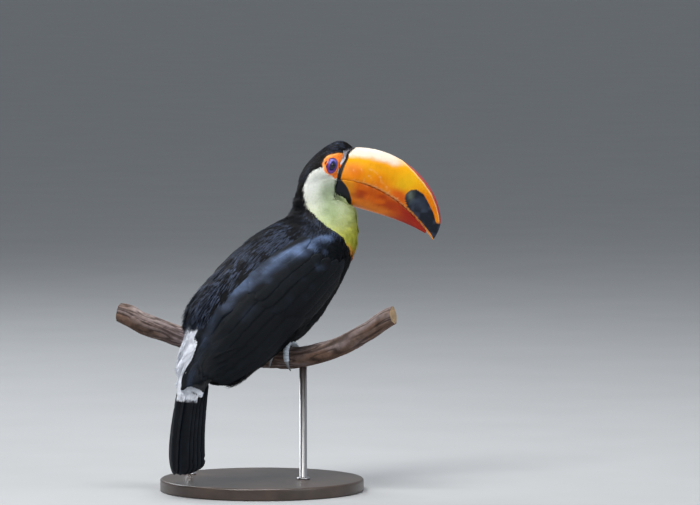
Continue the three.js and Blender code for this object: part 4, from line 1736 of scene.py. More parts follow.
@dataclass
class Bill:
    """The great bill: two horn halves that meet along a jagged line."""

    culmen: tuple[tuple[float, float], ...] = ((12, 19), (98, 58), (192, -14), (164.5, -61.5))
    tomium: tuple[tuple[float, float], ...] = ((12, -14.5), (58, -9), (112, -20), (164, -61))
    keel: tuple[tuple[float, float], ...] = ((12, -38), (56, -44), (108, -42), (152, -55.5))
    half_width: tuple[float, ...] = (21, 20.5, 18.5, 15.5, 12, 8, 4, 0.9)
    lower_share: float = 0.93
    gap: float = 0.3
    roundness: float = 0.8
    rings: int = 210
    sides: int = 96
    teeth: float = 21.0
    palette: BillPalette = BillPalette()
    scratches: tuple[tuple[tuple[float, float], tuple[float, float], bool], ...] = (
        ((52, 5), (70, -3), True), ((40, 3), (47, -10), True), ((52, -3), (66, -15), True),
        ((70, -6), (86, -17), True), ((80, -12), (96, -24), True), ((30, 0), (34, -12), True),
        ((46, 1), (62, -6), False), ((60, -8), (78, -15), False), ((80, -6), (96, -20), False),
    )

    def _half(
        self, edge: Sequence[Sequence[float]], share: float, upper: bool
    ) -> tuple[Shape, Array]:
        """Make one half of the bill.

        Args:
            edge: The curve of its outer edge.
            share: How far it reaches along the line where the halves meet.
            upper: Whether it is the upper half.

        Returns:
            The shape in the head's directions, and each point's rise from 0 at the line
            where the halves meet to 1 at the outer edge.
        """
        t = np.linspace(0.0, 1.0, self.rings)
        meet = cubic(self.tomium, t * share)
        outer = cubic(edge, t)
        way = outer - meet
        length = np.linalg.norm(way, axis=1)
        way = way / np.maximum(length, 1e-6)[:, None]
        width = catmull(np.array(self.half_width, float)[:, None], t)[:, 0]
        turn = math.pi * np.arange(self.sides) / (self.sides - 1)
        rise = np.sin(turn) ** self.roundness
        side = np.cos(turn)
        teeth = (t * self.teeth) % 1.0
        teeth = np.minimum(teeth / 0.75, (1.0 - teeth) / 0.25)
        teeth = teeth * ease(0.16, 0.3, t) * ease(0.99, 0.9, t)
        notch = (1.3 if upper else 0.4) * teeth[:, None] * ease(0.25, 0.0, rise)[None]
        depth = np.maximum(length, 0.8) + 1.1 * np.sin(math.pi * ease(0.72, 1.0, t)) * upper
        lift = self.gap / 2 + notch + rise[None] * depth[:, None]
        dip = 0.25 * np.sin(9.0 * t)[:, None] * np.abs(side)[None] ** 3
        flat = np.stack([
            meet[:, 0, None] + way[:, 0, None] * lift,
            side[None] * (width[:, None] + dip),
            meet[:, 1, None] + way[:, 1, None] * lift,
        ], axis=2)
        return loft(flat), np.concatenate([np.tile(rise, self.rings), [0.5, 0.5]])

    def _upper_paint(self, p: Array) -> Array:
        """Paint the upper half: black root band, gold sides, red ridge, black tip, and painted
        highlights: a pale glare over the top, a glint and a pale line along the ridge, a sheen spot on
        the tip.

        Args:
            p: Points as [forward, left, up] of the head.

        Returns:
            One colour for each point.
        """
        tone = self.palette
        f, side, g = p.T
        wave = mottle(p, 7.0, 21) * 1.4 + mottle(p, 2.5, 22) * 0.7
        cloud = mottle(p, 17.0, 23)

        def spot(forward: float, up: float, length: float, height: float) -> Array:
            """Return a soft oval spot on the side of the bill."""
            return np.exp(-(((f - forward) / length) ** 2) - ((g - up) / height) ** 2)

        colours = mix(tone.gold, tone.deep_gold, ease(-0.7, 0.7, cloud))
        colours = mix(colours, tone.bright_gold, ease(-4.0, 9.0, g + 0.12 * (f - 60.0)) * 0.7)
        gold = np.clip(spot(112, 2, 17, 13) + 0.7 * spot(100, -8, 12, 8), 0.0, 1.0)
        colours = mix(colours, tone.patch_gold, gold)
        ember = spot(98, -17, 14, 6) + 0.7 * spot(108, -24, 10, 7) + 0.4 * spot(60, -12, 30, 4)
        colours = mix(colours, tone.ember, np.clip(ember, 0.0, 1.0) * 0.85)
        # Painted highlight: a broad pale glare over the top of the bill, from its root to about its
        # middle.
        low = np.interp(f, [20, 29, 42, 54, 71, 88, 100, 112], [13, 14, 15, 16.5, 16, 14.5, 17, 20])
        pale = ease(-2.5, 5.0, g - low + 0.9 * wave) * ease(116.0, 84.0, f + wave)
        colours = mix(colours, tone.painted_glare, pale * 0.9)
        ridge = np.interp(
            f, [84, 90, 96, 104, 119, 135, 148, 158, 165, 170],
            [38.0, 34.0, 29.5, 22.5, 13.4, 2.8, -7.8, -20.3, -32.2, -46.0],
        )
        above = g - ridge + 0.3 * wave
        red = ease(-0.5, 1.0, above) * ease(86.0, 96.0, f)
        colours = mix(colours, tone.ridge, red)
        # Painted highlights: a glint along the red ridge and a pale line just below it.
        glint = np.exp(-(((above - 2.4) / 0.8) ** 2)) * red
        colours = mix(colours, tone.ridge_glint, glint * 0.6)
        rim = np.exp(-(((above + 1.4) / 0.8) ** 2)) * ease(92.0, 106.0, f)
        colours = mix(colours, tone.ridge_highlight, rim * 0.85)
        colours = mix(colours, tone.lip, self._lip(f, g, wave) * 0.8)
        for stroke in self.scratches:
            colours = mix(colours, tone.scratch, self._stroke(f, g, side, *stroke))
        tip = self._tip(f, g, wave)
        dark = mix(tone.tip, tone.tip_cloud, ease(-0.2, 0.9, mottle(p, 5.0, 26)))
        # Painted highlight: a paler sheen spot on the black tip.
        dark = mix(dark, tone.tip_highlight, 0.7 * spot(133, -22, 12, 7))
        colours = mix(colours, dark, tip)
        ghost = spot(117, -15, 5, 7) * tip * (0.6 + 0.4 * mottle(p, 3.0, 25))
        colours = mix(colours, tone.tip_ghost, np.clip(ghost, 0.0, 1.0))
        heights = [-20, -13, -8, -2, 3, 8, 12, 17, 22, 27.5, 34]
        outer = np.interp(g, heights, [15, 15, 15.4, 16.6, 18, 20.4, 22.6, 23.8, 28.2, 37.4, 50.6])
        inner = np.interp(g, heights, [9, 10, 10.8, 11.6, 13.4, 16.6, 19, 20.4, 25, 34.6, 48.2])
        colours = mix(colours, tone.root, ease(outer + 0.5, outer - 0.4, f))
        face = mix(PALETTE.orange, PALETTE.lilac, ease(2.0, 5.0, g))
        return mix(colours, face, ease(inner + 0.3, inner - 0.3, f))

    def _lip(self, f: Array, g: Array, wave: Array) -> Array:
        """Find the pale jagged lip of the upper half.

        Args:
            f: How far forward each point is.
            g: How far up each point is.
            wave: Unevenness of its edge.

        Returns:
            Its strength at each point, from 0 to 1.
        """
        line = cubic(self.tomium, np.linspace(0.0, 1.0, 200))
        meet = np.interp(f, line[:, 0], line[:, 1])
        saw = (f / 8.7 + 0.16 * np.sin(f * 0.21)) % 1.0
        jag = 0.1 + 1.9 * np.minimum(saw / 0.7, (1.0 - saw) / 0.3) + 0.8 * wave
        bold = 0.55 + 0.45 * ease(60.0, 84.0, f) * ease(112.0, 100.0, f)
        return ease(0.5, -0.3, (g - meet) - jag * (0.7 + 0.6 * bold)) * ease(24.0, 38.0, f) * bold

    def _stroke(
        self, f: Array, g: Array, side: Array, start: tuple[float, float],
        end: tuple[float, float], right: bool,
    ) -> Array:
        """Return where one pale scratch runs, from 0 to 1.

        Args:
            f: How far forward each point is.
            g: How far up each point is.
            side: How far left each point is.
            start: The scratch's first end as forward and up.
            end: Its second end.
            right: Whether it lies on the right side of the bill.

        Returns:
            Its strength at each point.
        """
        a, b = np.array(start), np.array(end)
        place = np.stack([f, g], axis=1)
        share = np.clip((place - a) @ (b - a) / ((b - a) @ (b - a)), 0.0, 1.0)
        bend = 1.8 * np.sin(math.pi * share)
        off = place - a - share[:, None] * (b - a) - np.stack([0 * bend, bend], axis=1)
        away = np.linalg.norm(off, axis=1)
        rough = ease(-0.9, 0.3, mottle(np.stack([f, g, side], axis=1), 3.0, 66))
        return np.exp(-((away / 0.8) ** 2)) * 0.6 * rough * ((side < 0.0) == right)

    def _tip(self, f: Array, g: Array, wave: Array) -> Array:
        """Find the black oval at the bill's end.

        Args:
            f: How far forward each point is.
            g: How far up each point is.
            wave: Unevenness of its edge.

        Returns:
            Its strength at each point, from 0 to 1.
        """
        places = [108, 112, 116, 124, 135, 148, 157, 164, 170]
        top = np.interp(f, places, [-20, -13, -9, -7, -10, -21.5, -31.5, -43, -56])
        places = [108, 112, 117, 124, 132, 148, 159, 166]
        low = np.interp(f, places, [-18, -23, -30, -34, -38, -47.5, -55, -62])
        inside = np.minimum(top - g, g - low) + 0.2 * wave
        end = ease(-39.0, -42.0, g + 0.3 * wave) * ease(150.0, 154.0, f)
        oval = ease(-0.4, 0.6, inside) * ease(109.5, 111.5, f + 0.3 * wave)
        return np.maximum(oval, end * ease(-0.4, 0.6, g - low + 0.2 * wave))

    def _lower_paint(self, p: Array, rise: Array) -> Array:
        """Paint the lower half: black root patch, orange sides, dark red end.

        Args:
            p: Points as [forward, left, up] of the head.
            rise: From 0 where the halves meet to 1 at the keel.

        Returns:
            One colour for each point.
        """
        tone = self.palette
        f, side, g = p.T
        wave = mottle(p, 7.0, 41) * 1.4 + mottle(p, 2.5, 42) * 0.7
        cloud = mottle(np.stack([f * 0.4, side, g], axis=1), 6.0, 43)
        colours = mix(tone.rust, tone.deep_rust, ease(-0.6, 0.5, cloud))
        colours = mix(colours, tone.olive, ease(46.0, 26.0, f + wave) * 0.8)
        keel = ease(0.50, 0.85, rise + 0.03 * wave) * ease(118.0, 80.0, f)
        colours = mix(colours, tone.keel, keel * 0.8)
        colours = mix(colours, tone.wine, ease(78.0, 126.0, f + 2.0 * wave) * 0.9)
        lip = ease(0.085, 0.03, rise) * ease(-0.4, 0.6, mottle(p, 4.0, 44)) * ease(34.0, 60.0, f)
        colours = mix(colours, tone.low_lip, lip * 0.6)
        heights = [-46, -41, -38, -32, -22, -16, -13]
        edge = np.interp(g, heights, [48.0, 44, 41.0, 35.5, 26.5, 18.0, 15.0])
        return mix(colours, tone.low_root, ease(edge + 0.5, edge - 0.5, f + 0.25 * wave))

    def build(self) -> None:
        """Make both halves and add them to the scene."""
        upper, _ = self._half(self.culmen, 1.0, True)
        lower, rise = self._half(self.keel, self.lower_share, False)
        upper.colours = self._upper_paint(upper.points)
        lower.colours = self._lower_paint(lower.points, rise)
        for node, shape in zip(BILLS, (upper, lower)):
            scar = mottle(shape.points * np.array([1.0, 1.0, 0.35]), 2.2, 61)
            shape.colours = shape.colours * (1.0 + 0.05 * scar[:, None])
            shape.points = HEAD.outside(shape.points)
            put(f"{node}_horn", turned_out(shape), HORN, [node])


# ---- eyes
@dataclass(frozen=True)
class EyePalette:
    """The colours of the eyeball and its lids."""

    pupil: Colour = (0.002, 0.002, 0.003)
    iris: Colour = (0.010, 0.014, 0.060)
    # Painted sheen: the brighter blue on the iris's forward side.
    iris_sheen: Colour = (0.02, 0.04, 0.20)
    lid_edge: Colour = (0.012, 0.01, 0.05)
    # Painted highlight: the paler upper part of the lids.
    lid_highlight: Colour = (0.30, 0.26, 0.62)


@dataclass
class Eye:
    """An eyeball with its bare wrinkled lids."""

    side: int
    name: str
    skin: Skin
    radius: float = 6.9
    sideways: float = 16.1
    opening: float = 5.1
    lid_reach: float = 10.8
    palette: EyePalette = EyePalette()
    shift: tuple[float, float] = (0.9, -0.3)
    oval: tuple[float, float] = (0.76, 1.03)

    def _frame(self, flat: Array) -> Array:
        """Turn [forward, up, out] round the eye's middle into places in the scene."""
        left = self.side * (self.sideways + flat[:, 2])
        return HEAD.outside(np.stack([flat[:, 0], left, flat[:, 1]], axis=1))

    def _face(self, flat: Array) -> Array:
        """Find how far out the skin lies round the eye, by rays from outside.

        Args:
            flat: Places as [forward, up] from the eye's middle.

        Returns:
            The skin's height for each place, and 5 mm where no ray meets it.
        """
        outside = 16.0
        start = self._frame(np.column_stack([flat, np.full(len(flat), outside)]))
        way = -HEAD.matrix[:, 1] * self.side
        found = np.full(len(flat), 5.0)
        for i, spot in enumerate(start):
            distance = self.skin.tree.ray_cast(Vector(spot), Vector(way), 30.0)[3]
            if distance is not None:
                found[i] = outside - distance
        return found

    def _ball(self) -> Shape:
        """Make the eyeball, dark, with a dark blue iris and a painted blue sheen on the iris's forward
        side.
        """
        polar = np.linspace(0.02, math.pi - 0.02, 48)
        turn = circle(96)
        ring = np.sin(polar)[:, None] * self.radius
        flat = np.stack(np.broadcast_arrays(
            ring * np.cos(turn), ring * np.sin(turn), np.cos(polar)[:, None] * self.radius
        ), axis=2)
        shape = loft(flat)
        x, y = shape.points[:, 0], shape.points[:, 1]
        reach = np.hypot((x - self.shift[0]) / self.oval[0], (y - self.shift[1]) / self.oval[1])
        # Painted sheen: a brighter blue on the forward side of the iris.
        light = ease(3.4, 4.8, reach) * ease(-2.0, 3.0, x + 0.3 * y)
        dark = mix(self.palette.pupil, self.palette.iris, ease(2.5, 3.6, reach))
        shape.colours = mix(dark, self.palette.iris_sheen, light)
        shape.points = self._frame(shape.points)
        return turned_out(shape)

    def _lids(self) -> Shape:
        """Make the lids: a wrinkled ring from the eyeball out onto the face."""
        across = np.linspace(0.0, 1.0, 20)
        turn = circle(160)
        reach = np.repeat(self.opening + (self.lid_reach - self.opening) * across, len(turn))
        angle = np.tile(turn, len(across))
        point = 1.0 + 0.05 * np.clip(-np.sin(angle), 0.0, 1.0) ** 6
        y = self.oval[1] * reach * np.sin(angle) * point
        x = self.oval[0] * reach * np.cos(angle) + 0.14 * y + self.shift[0]
        y = y + self.shift[1]
        away = np.hypot(x, y)
        ball = np.sqrt(np.maximum(self.radius**2 - away**2, 1.0)) + 0.35
        bare = self._face(np.stack([x, y], axis=1))
        face = np.maximum(self._blend(bare.copy(), len(turn)), bare) + 0.45
        height = ball + (np.maximum(face, 0.6) - ball) * ease(6.2, 9.4, reach)
        height = height + 0.75 * np.exp(-(((reach - 6.5) / 1.05) ** 2))
        height = height - 0.35 * np.exp(-(((reach - 8.6) / 0.5) ** 2))
        globe = np.sqrt(np.maximum(self.radius**2 - away**2, 0.0))
        height = np.maximum(height, np.maximum(globe, bare) + 0.3)
        height = height - 1.5 * ease(9.8, 10.8, reach)
        fold = ease(5.3, 6.2, reach) * ease(9.9, 9.0, reach)
        wrinkle = 0.07 * np.sin(angle * 46.0) + 0.05 * np.sin(angle * 31.0 + 1.3)
        height = height + (wrinkle + 0.09 * np.sin(reach * 7.5)) * fold
        top = np.stack([x, y, height], axis=1).reshape(len(across), len(turn), 3)
        under = top[::-1].copy()
        under[:, :, 2] -= 0.9
        rings = np.concatenate([top, under])
        count, sides, _ = rings.shape
        r, s = pairings(np.arange(count), np.arange(sides))
        ahead, beside = (r + 1) % count, (s + 1) % sides
        face_rows = [r * sides + s, r * sides + beside, ahead * sides + beside, ahead * sides + s]
        shape = Shape(rings.reshape(-1, 3), [np.stack(face_rows, axis=1)])
        edge = np.concatenate([reach, reach.reshape(len(across), -1)[::-1].ravel()])
        x, y = shape.points[:, 0], shape.points[:, 1]
        ring = mix(PALETTE.violet, PALETTE.purple, ease(2.0, -5.0, y + 0.4 * x))
        # Painted highlight: the upper part of the lids paler.
        ring = mix(ring, self.palette.lid_highlight, ease(4.0, 8.0, y) * 0.6)
        colours = mix(self.palette.lid_edge, ring, ease(5.3, 6.0, edge))
        colours = mix(colours, PALETTE.maroon, ease(7.7, 8.3, edge) * 0.7)
        shape.colours = mix(colours, PALETTE.orange, ease(9.0, 9.5, edge))
        shape.points = self._frame(shape.points)
        return turned_out(shape)

    def _blend(self, height: Array, sides: int) -> Array:
        """Smooth heights round each ring of the lids and from ring to ring.

        Args:
            height: Heights in the order [ring, side], as one flat row.
            sides: Points in a ring.

        Returns:
            The smoothed heights in the same order.
        """
        grid = height.reshape(-1, sides)
        for _ in range(6):
            grid = (grid + np.roll(grid, 1, axis=1) + np.roll(grid, -1, axis=1)) / 3.0
            grid[1:-1] = (grid[1:-1] + grid[:-2] + grid[2:]) / 3.0
        return grid.ravel()

    def build(self) -> None:
        """Add the eyeball and its lids to the scene."""
        put(f"eyeball_{self.name}", self._ball(), EYEBALL, [f"eye_{self.name}"])
        put(f"eyelids_{self.name}", self._lids(), LID)


# ---- feet
@dataclass(frozen=True)
class Toe:
    """How one toe lies round the bough."""

    forwards: bool
    splay: float
    arc: float
    offset: float


@dataclass
class Foot:
    """One foot: the scutes over its toes, and four claws."""

    side: int
    name: str
    toes: tuple[Toe, ...] = (
        Toe(True, 12, 96, 5), Toe(True, -13, 88, -5),
        Toe(False, 8, 100, 4.5), Toe(False, -13, 82, -5),
    )
    scutes: int = 9
    scute_start: float = 9.0
    scute_wrap: float = 98.0
    claw_steps: int = 26
    claw_sides: int = 20
    claw_hidden: float = 4.0
    toe_radius: float = 3.4
    gap: float = 0.3
    slide: float = 17.0
    bark_rise: float = 1.07
    claw_arc: float = 42.0
    claw_root: float = 2.5
    claw_tip: float = 0.6
    claw_clear: float = 2.4
    claw_spread: float = 0.05

    def path(self, toe: Toe, start: float, end: float, steps: int) -> tuple[Array, Array]:
        """Lay a toe's middle line round the bough.

        Args:
            toe: How the toe lies.
            start: Degrees from the bough's top where the line starts.
            end: Degrees where it ends.
            steps: The number of its points.

        Returns:
            The points, and the direction out of the bough at each.
        """
        turn = np.array([-PERCH.run[1], PERCH.run[0], 0.0])
        forward = turn if toe.forwards else -turn
        angle = np.radians(np.linspace(start, end, steps))
        slide = toe.offset + math.tan(math.radians(toe.splay)) * self.slide * angle
        centre, radius = PERCH.at(PERCH.foot_along(self.side) + slide)
        out = forward * np.sin(angle)[:, None] + np.array([0, 0, 1.0]) * np.cos(angle)[:, None]
        reach = radius * self.bark_rise + self.toe_radius + self.gap
        return centre + out * reach[:, None], out

    def _scutes(self, toe: Toe) -> list[Shape]:
        """Make the overlapping plates along the top of one toe, each four steps long.

        Args:
            toe: How the toe lies.

        Returns:
            One closed plate for each scute, coloured.
        """
        made: list[Shape] = []
        steps = self.scutes * 4
        path, out = self.path(toe, self.scute_start, toe.arc, steps + 1)
        ahead = unit(np.gradient(path, axis=0))
        side = np.cross(out, ahead)
        turn = np.radians(np.linspace(-self.scute_wrap, self.scute_wrap, 13))
        share = np.linspace(0.0, 1.0, 5)
        for k in range(self.scutes):
            rows = np.arange(k * 4, k * 4 + 5)
            radius = self.toe_radius * (1.0 - 0.2 * rows / steps)
            raised = radius + 0.12 + 0.42 * np.sin(math.pi * (0.15 + 0.8 * share)) ** 0.5
            ring = side[rows][:, None] * np.sin(turn)[None, :, None]
            ring = ring + out[rows][:, None] * np.cos(turn)[None, :, None]
            top = path[rows][:, None] + ring * raised[:, None, None]
            low = path[rows][:, None] + ring * (radius - 0.5)[:, None, None]
            rings = np.concatenate([top, low[:, ::-1]], axis=1)
            shape = loft(rings)
            tone = np.array(PALETTE.foot) * (1.35 if k % 2 else 1.15)
            edge = np.concatenate([np.repeat(share, 2 * len(turn)), [0.0, 1.0]])
            shape.colours = tone * (1.25 - 0.55 * ease(0.7, 1.0, edge))[:, None]
            made.append(shape)
        return made

    def _claw(self, toe: Toe) -> Shape:
        """Make one curved claw, which thins to a point.

        Args:
            toe: How its toe lies.

        Returns:
            The claw, coloured.
        """
        start = toe.arc + self.claw_clear - self.claw_hidden
        end = start + self.claw_arc + self.claw_hidden
        path, _ = self.path(toe, start, end, self.claw_steps)
        share = np.linspace(0.0, 1.0, self.claw_steps)
        centre, _ = PERCH.at(np.full(self.claw_steps, PERCH.foot_along(self.side)))
        path = path + (path - centre) * (self.claw_spread * share**2)[:, None]
        radii = self.claw_root + (self.claw_tip - self.claw_root) * share**0.9
        radii[-1] = 0.15
        shape = loft(tube_rings(path, radii, self.claw_sides))
        place = np.concatenate([np.repeat(share, self.claw_sides), [0.0, 1.0]])
        shape.colours = mix(PALETTE.claw_root, PALETTE.claw_tip, place)
        return shape

    def build(self) -> None:
        """Add the scutes and claws to the scene."""
        plates = merged([plate for toe in self.toes for plate in self._scutes(toe)])
        put(f"foot_scutes_{self.name}", plates, SCALES)
        for k, toe in enumerate(self.toes):
            node = f"claw_{self.name}_{k + 1}"
            put(f"{node}_horn", self._claw(toe), CLAW, [node])


# ---- perch and stand
@dataclass(frozen=True)
class BarkPalette:
    """The colours of the bough's bark and sawn wood."""

    brown: Colour = (0.135, 0.082, 0.060)
    grey: Colour = (0.21, 0.165, 0.16)
    lilac: Colour = (0.24, 0.19, 0.215)
    # Painted highlight: the paler band along the bough's top.
    top_highlight: Colour = (0.36, 0.30, 0.28)
    # Painted shade: the darkened grooves of the bark.
    groove: Colour = (0.035, 0.022, 0.018)
    # Painted shade: the darkened inside of the knot's hole.
    hole: Colour = (0.02, 0.014, 0.012)
    wood: Colour = (0.42, 0.29, 0.17)


@dataclass
class Bough:
    """The cut bough, with grooved bark, a knot and two sawn ends."""

    rings: int = 300
    sides: int = 96
    knot_along: float = -178.0
    knot_angle: float = 65.0
    knot_rise: float = 5.5
    knot_width: float = 8.5
    hole_depth: float = 7.5
    hole_width: float = 3.6
    groove: float = 0.75
    foot_room: float = 16.0
    growth_rings: tuple[float, ...] = (0.97, 0.85, 0.7, 0.55, 0.4, 0.25, 0.1)
    palette: BarkPalette = BarkPalette()

    def _bark(self, along: Array, angle: Array, radius: Array) -> tuple[Array, Array]:
        """Shape the bark.

        Args:
            along: Places along the bough.
            angle: Angles round it, in radians.
            radius: The bough's radius there.

        Returns:
            The bark's height, and how deep in a groove each place is, from 0 to 1.
        """
        def rolled(squeeze: float, turned: Array) -> Array:
            """Return places on the bough, squeezed along it."""
            return np.stack([along * squeeze, radius * np.cos(turned), radius * np.sin(turned)], axis=1)

        twist = mottle(rolled(0.11, angle), 9.0, 71) * 0.5
        ridges = 1.0 - np.abs(mottle(rolled(0.10, angle + twist), 2.6, 72)) * 2.0
        fine = mottle(rolled(0.35, angle), 1.1, 73)
        lumps = mottle(rolled(1.0, angle), 14.0, 74)
        height = -self.groove * ease(0.25, 0.95, ridges) + 0.22 * fine + 0.5 * lumps
        return height, ease(0.2, 0.9, ridges)

    def build(self) -> None:
        """Make the bough and add it to the scene."""
        line = np.linspace(PERCH.line[0, 0], PERCH.line[-1, 0], self.rings)
        centre, radius = PERCH.at(line)
        run = unit(PERCH.at(line + 1.0)[0] - PERCH.at(line - 1.0)[0])
        side = unit(np.cross(run, np.array([0.0, 0.0, 1.0])))
        up = np.cross(side, run)
        turn = circle(self.sides)
        along, angle = pairings(line, turn)
        swell = 0.045 * np.sin(3 * angle + along * 0.05)
        ripple = 1.0 + swell + 0.03 * np.sin(5 * angle - along * 0.09)
        base = np.repeat(radius, self.sides) * ripple
        height, depth = self._bark(along, angle, base)
        knot_turn = math.radians(90.0 + self.knot_angle)
        gap = (angle - knot_turn + math.pi) % (2 * math.pi) - math.pi
        away = np.hypot((along - self.knot_along), gap * base)
        height = height + self.knot_rise * np.exp(-((away / self.knot_width) ** 2))
        height = height - self.hole_depth * np.exp(-((away / self.hole_width) ** 4))
        near_foot = np.minimum(*[np.abs(along - PERCH.foot_along(k)) for k in (1, -1)])
        height = np.where(near_foot < self.foot_room, np.minimum(height, 0.1), height)
        reach = (base + height).reshape(self.rings, self.sides)
        ring = side[:, None] * np.cos(turn)[None, :, None] + up[:, None] * np.sin(turn)[None, :, None]
        tube = centre[:, None] + ring * reach[..., None]
        ends = [
            [centre[end] + (tube[end] - centre[end]) * k for k in self.growth_rings]
            for end in (0, -1)
        ]
        shape = loft(np.concatenate([np.stack(ends[0][::-1]), tube, np.stack(ends[1])]))
        shape.colours = self._paint(shape, along, angle, depth, away)
        put("bough", shape, BARK, ["perch"])

    def _paint(
        self, shape: Shape, along: Array, angle: Array, depth: Array, away: Array
    ) -> Array:
        """Paint bark, the sawn ends, a painted highlight along the top, and painted shade in the
        grooves and in the knot's hole.

        Args:
            shape: The whole bough.
            along: Where each place of the bark lies along it.
            angle: Its angle round it.
            depth: How deep in a groove it is.
            away: Its distance from the knot.

        Returns:
            One colour for each point of the shape.
        """
        tone = self.palette
        place = np.stack([along * 0.3, 12.0 * np.cos(angle), 12.0 * np.sin(angle)], axis=1)
        patch = mottle(place, 7.0, 81)
        # Grey and brown patches; the shift towards grey on top and brown underneath is painted light
        # from above.
        colours = mix(tone.brown, tone.grey, ease(-0.5, 0.5, patch + 0.35 * np.sin(angle)))
        lilac = ease(-150.0, -90.0, along) * ease(-40.0, -70.0, along)
        colours = mix(colours, tone.lilac, lilac * 0.6)
        # Painted highlight: a paler, mottled band along the top of the bough.
        top = ease(0.5, 1.0, np.sin(angle)) * ease(-0.4, 0.6, mottle(place, 3.0, 82))
        colours = mix(colours, tone.top_highlight, top * 0.6)
        # Painted shade: the grooves of the bark darkened.
        colours = mix(colours, tone.groove, depth * 0.75)
        # Painted shade: the inside of the knot's hole darkened.
        colours = mix(colours, tone.hole, ease(5.0, 3.0, away))
        wood = np.array(tone.wood)
        shade = 0.82 + 0.18 * (np.arange(len(self.growth_rings)) % 2)
        sawn = np.repeat(shade, self.sides)[:, None] * wood
        colours = np.concatenate([sawn[::-1], colours, sawn, [wood * 0.8, wood * 0.8]])
        return colours * (1.0 + 0.12 * mottle(shape.points, 2.0, 83)[:, None])


@dataclass
class Stand:
    """The display stand: a turned wooden base and two steel rods."""

    radius: float = 120.0
    thickness: float = 14.0
    rod_radius: float = 4.5
    socket: float = 7.0
    rods: tuple[float, ...] = (-100.0, 46.0)
    round_over: float = 2.6
    bevel: float = 1.2
    collar: tuple[tuple[float, float], ...] = (
        (0.05, 0.0), (0.06, 3.4), (1.6, 3.4), (2.3, 2.7), (2.6, 0.5), (2.7, 0.0),
    )

    def _base(self) -> Shape:
        """Turn the base's disc with softly rounded edges."""
        r, h, q, b = self.radius, self.thickness, self.round_over, self.bevel
        arc = np.linspace(0.0, math.pi / 2, 7)
        low = [(r - b + b * math.sin(a), b - b * math.cos(a)) for a in arc]
        top = [(r - q + q * math.cos(a), h - q + q * math.sin(a)) for a in arc]
        profile = [(r * 0.5, 0.0)] + low + top + [(r * k, h) for k in (0.93, 0.8, 0.6, 0.4, 0.2)]
        return self._turned(profile, (0.0, 0.0), 200)

    def _rod(self, along: float) -> Shape:
        """Make one rod with a small turned collar where it leaves the base."""
        (centre,), (thick,) = PERCH.at(along)
        face, r = self.thickness, self.rod_radius
        collar = [(r + out, face + rise) for rise, out in self.collar]
        profile = [(r, face - self.socket), *collar, (r, centre[2] - thick * 0.6)]
        return self._turned(profile, (centre[0], centre[1]), 56)

    def _turned(
        self, profile: Sequence[tuple[float, float]], middle: tuple[float, float], sides: int
    ) -> Shape:
        """Turn a profile round an upright line.

        Args:
            profile: Radius and height of each ring.
            middle: Where the line stands.
            sides: Points in a ring.

        Returns:
            The closed surface.
        """
        x, y = middle
        return loft(np.array([
            [(x + r * math.cos(a), y + r * math.sin(a), z) for a in circle(sides)]
            for r, z in profile
        ]))

    def build(self) -> None:
        """Add the base and the rods to the scene."""
        put("stand_base_turned", self._base(), TIMBER, ["stand_base"])
        for k, along in enumerate(self.rods):
            node = f"stand_rod_{k + 1}"
            rod = put(f"{node}_steel", self._rod(along), STEEL, [node])
            for polygon in rod.data.polygons:
                polygon.use_smooth = abs(polygon.normal.z) < 0.5


# ---- studio
@dataclass(frozen=True)
class Lamp:
    """One soft round lamp, placed in metres from the model's middle as the camera sees it."""

    name: str
    right: float
    ahead: float
    rise: float
    size: float
    power: float
    tint: Colour


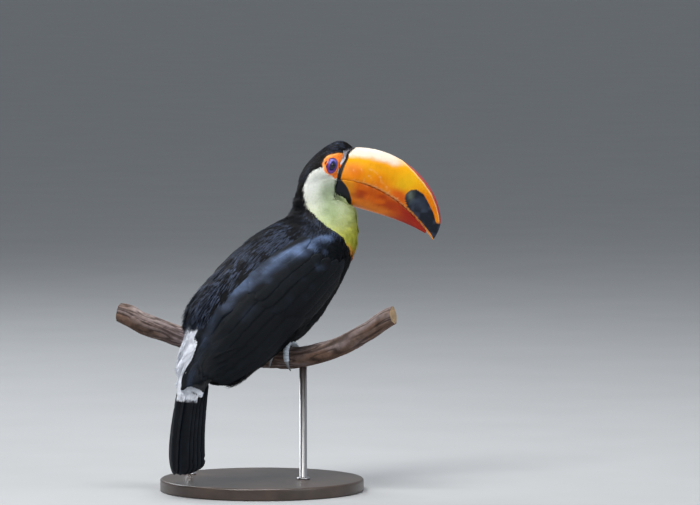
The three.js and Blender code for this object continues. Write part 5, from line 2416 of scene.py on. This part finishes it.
@dataclass
class Studio:
    """The floor, the light and the camera."""

    azimuth: float = -41.0
    elevation: float = 4.0
    across: float = 103.8
    upward: float = 280.0
    distance: float = 7000.0
    view_width: float = 826.0
    floor_half: float = 40.0
    lamps: tuple[Lamp, ...] = (
        Lamp("key light", -0.9, -1.2, 2.1, 1.2, 54.0, (1.0, 0.98, 0.95)),
        Lamp("fill light", 2.2, -1.8, 0.9, 1.8, 24.0, (0.97, 0.98, 1.0)),
        Lamp("rim light", -1.4, 1.9, 1.8, 1.4, 30.0, (0.93, 0.96, 1.0)),
        Lamp("top light", 0.1, 0.2, 2.2, 1.0, 34.0, (1.0, 1.0, 1.0)),
    )
    room_tint: Colour = (0.80, 0.86, 0.93)
    room_power: float = 0.36

    def _directions(self) -> tuple[Vector, Vector, Vector]:
        """Return the camera's right, up and forward directions."""
        a, e = math.radians(self.azimuth), math.radians(self.elevation)
        back = Vector((math.sin(a) * math.cos(e), -math.cos(a) * math.cos(e), math.sin(e)))
        right = Vector((math.cos(a), math.sin(a), 0.0))
        return right, back.cross(right), -back

    def camera(self) -> None:
        """Place the camera."""
        right, up, forward = self._directions()
        target = (right * self.across + up * self.upward) * MM
        data = bpy.data.cameras.new("camera")
        data.sensor_width = 36.0
        data.lens = 36.0 * self.distance / self.view_width
        data.clip_end = 100.0
        made = bpy.data.objects.new("camera", data)
        made.location = target - forward * self.distance * MM
        made.rotation_euler = Matrix((right, up, -forward)).transposed().to_euler()
        bpy.context.scene.collection.objects.link(made)
        bpy.context.scene.camera = made

    def floor(self) -> None:
        """Lay the wide plain floor."""
        half, tiles = self.floor_half / MM, 8
        step = np.linspace(-half, half, tiles + 1)
        x, y = pairings(step, step)
        i, j = pairings(np.arange(tiles), np.arange(tiles))
        corner = i * (tiles + 1) + j
        faces = [np.stack([corner, corner + tiles + 1, corner + tiles + 2, corner + 1], axis=1)]
        shape = Shape(np.stack([x, y, np.full(len(x), -0.4)], axis=1), faces)
        made = bpy.data.objects.new("floor", shape.mesh("floor"))
        made.data.materials.append(FLOOR.material())
        bpy.context.scene.collection.objects.link(made)

    def lights(self) -> None:
        """Hang the soft lights and set the even light of the room."""
        right, _, forward = self._directions()
        middle = Vector((0.02, 0.0, 0.26))
        for lamp in self.lamps:
            offset = right * lamp.right + forward * lamp.ahead + Vector((0, 0, lamp.rise))
            data = bpy.data.lights.new(lamp.name, "AREA")
            data.shape = "DISK"
            data.size = lamp.size
            data.energy = lamp.power
            data.color = lamp.tint
            made = bpy.data.objects.new(lamp.name, data)
            made.location = middle + offset
            made.rotation_euler = (-offset).to_track_quat("-Z", "Y").to_euler()
            bpy.context.scene.collection.objects.link(made)
        world = bpy.data.worlds.new("room light")
        world.use_nodes = True
        sky = world.node_tree.nodes["Background"]
        sky.inputs["Color"].default_value = (*self.room_tint, 1.0)
        sky.inputs["Strength"].default_value = self.room_power
        bpy.context.scene.world = world
        bpy.context.scene.view_settings.view_transform = "Standard"


def main() -> None:
    """Build every part of the model in order."""
    logging.basicConfig(level=logging.INFO, format="%(message)s")
    skin = Skin()
    skin.build()
    skin.dress()
    Coat(skin).build()
    Wing(-1, "right", (64, 50, 43, 38, 34, 30, 25, 17), 0.965).build()
    Wing(
        1, "left", (64, 50, 43, 38, 36, 40, 50, 62), 0.9,
        reach=0.80, drop=66.0, hidden=16.0, loose=0.0, tip_lift=0.0,
    ).build()
    Tail().build()
    Bill().build()
    for side, name in ((-1, "right"), (1, "left")):
        Eye(side, name, skin).build()
        Foot(side, name).build()
    Bough().build()
    Stand().build()
    studio = Studio()
    studio.floor()
    studio.lights()
    studio.camera()


if __name__ == "__main__":
    main()
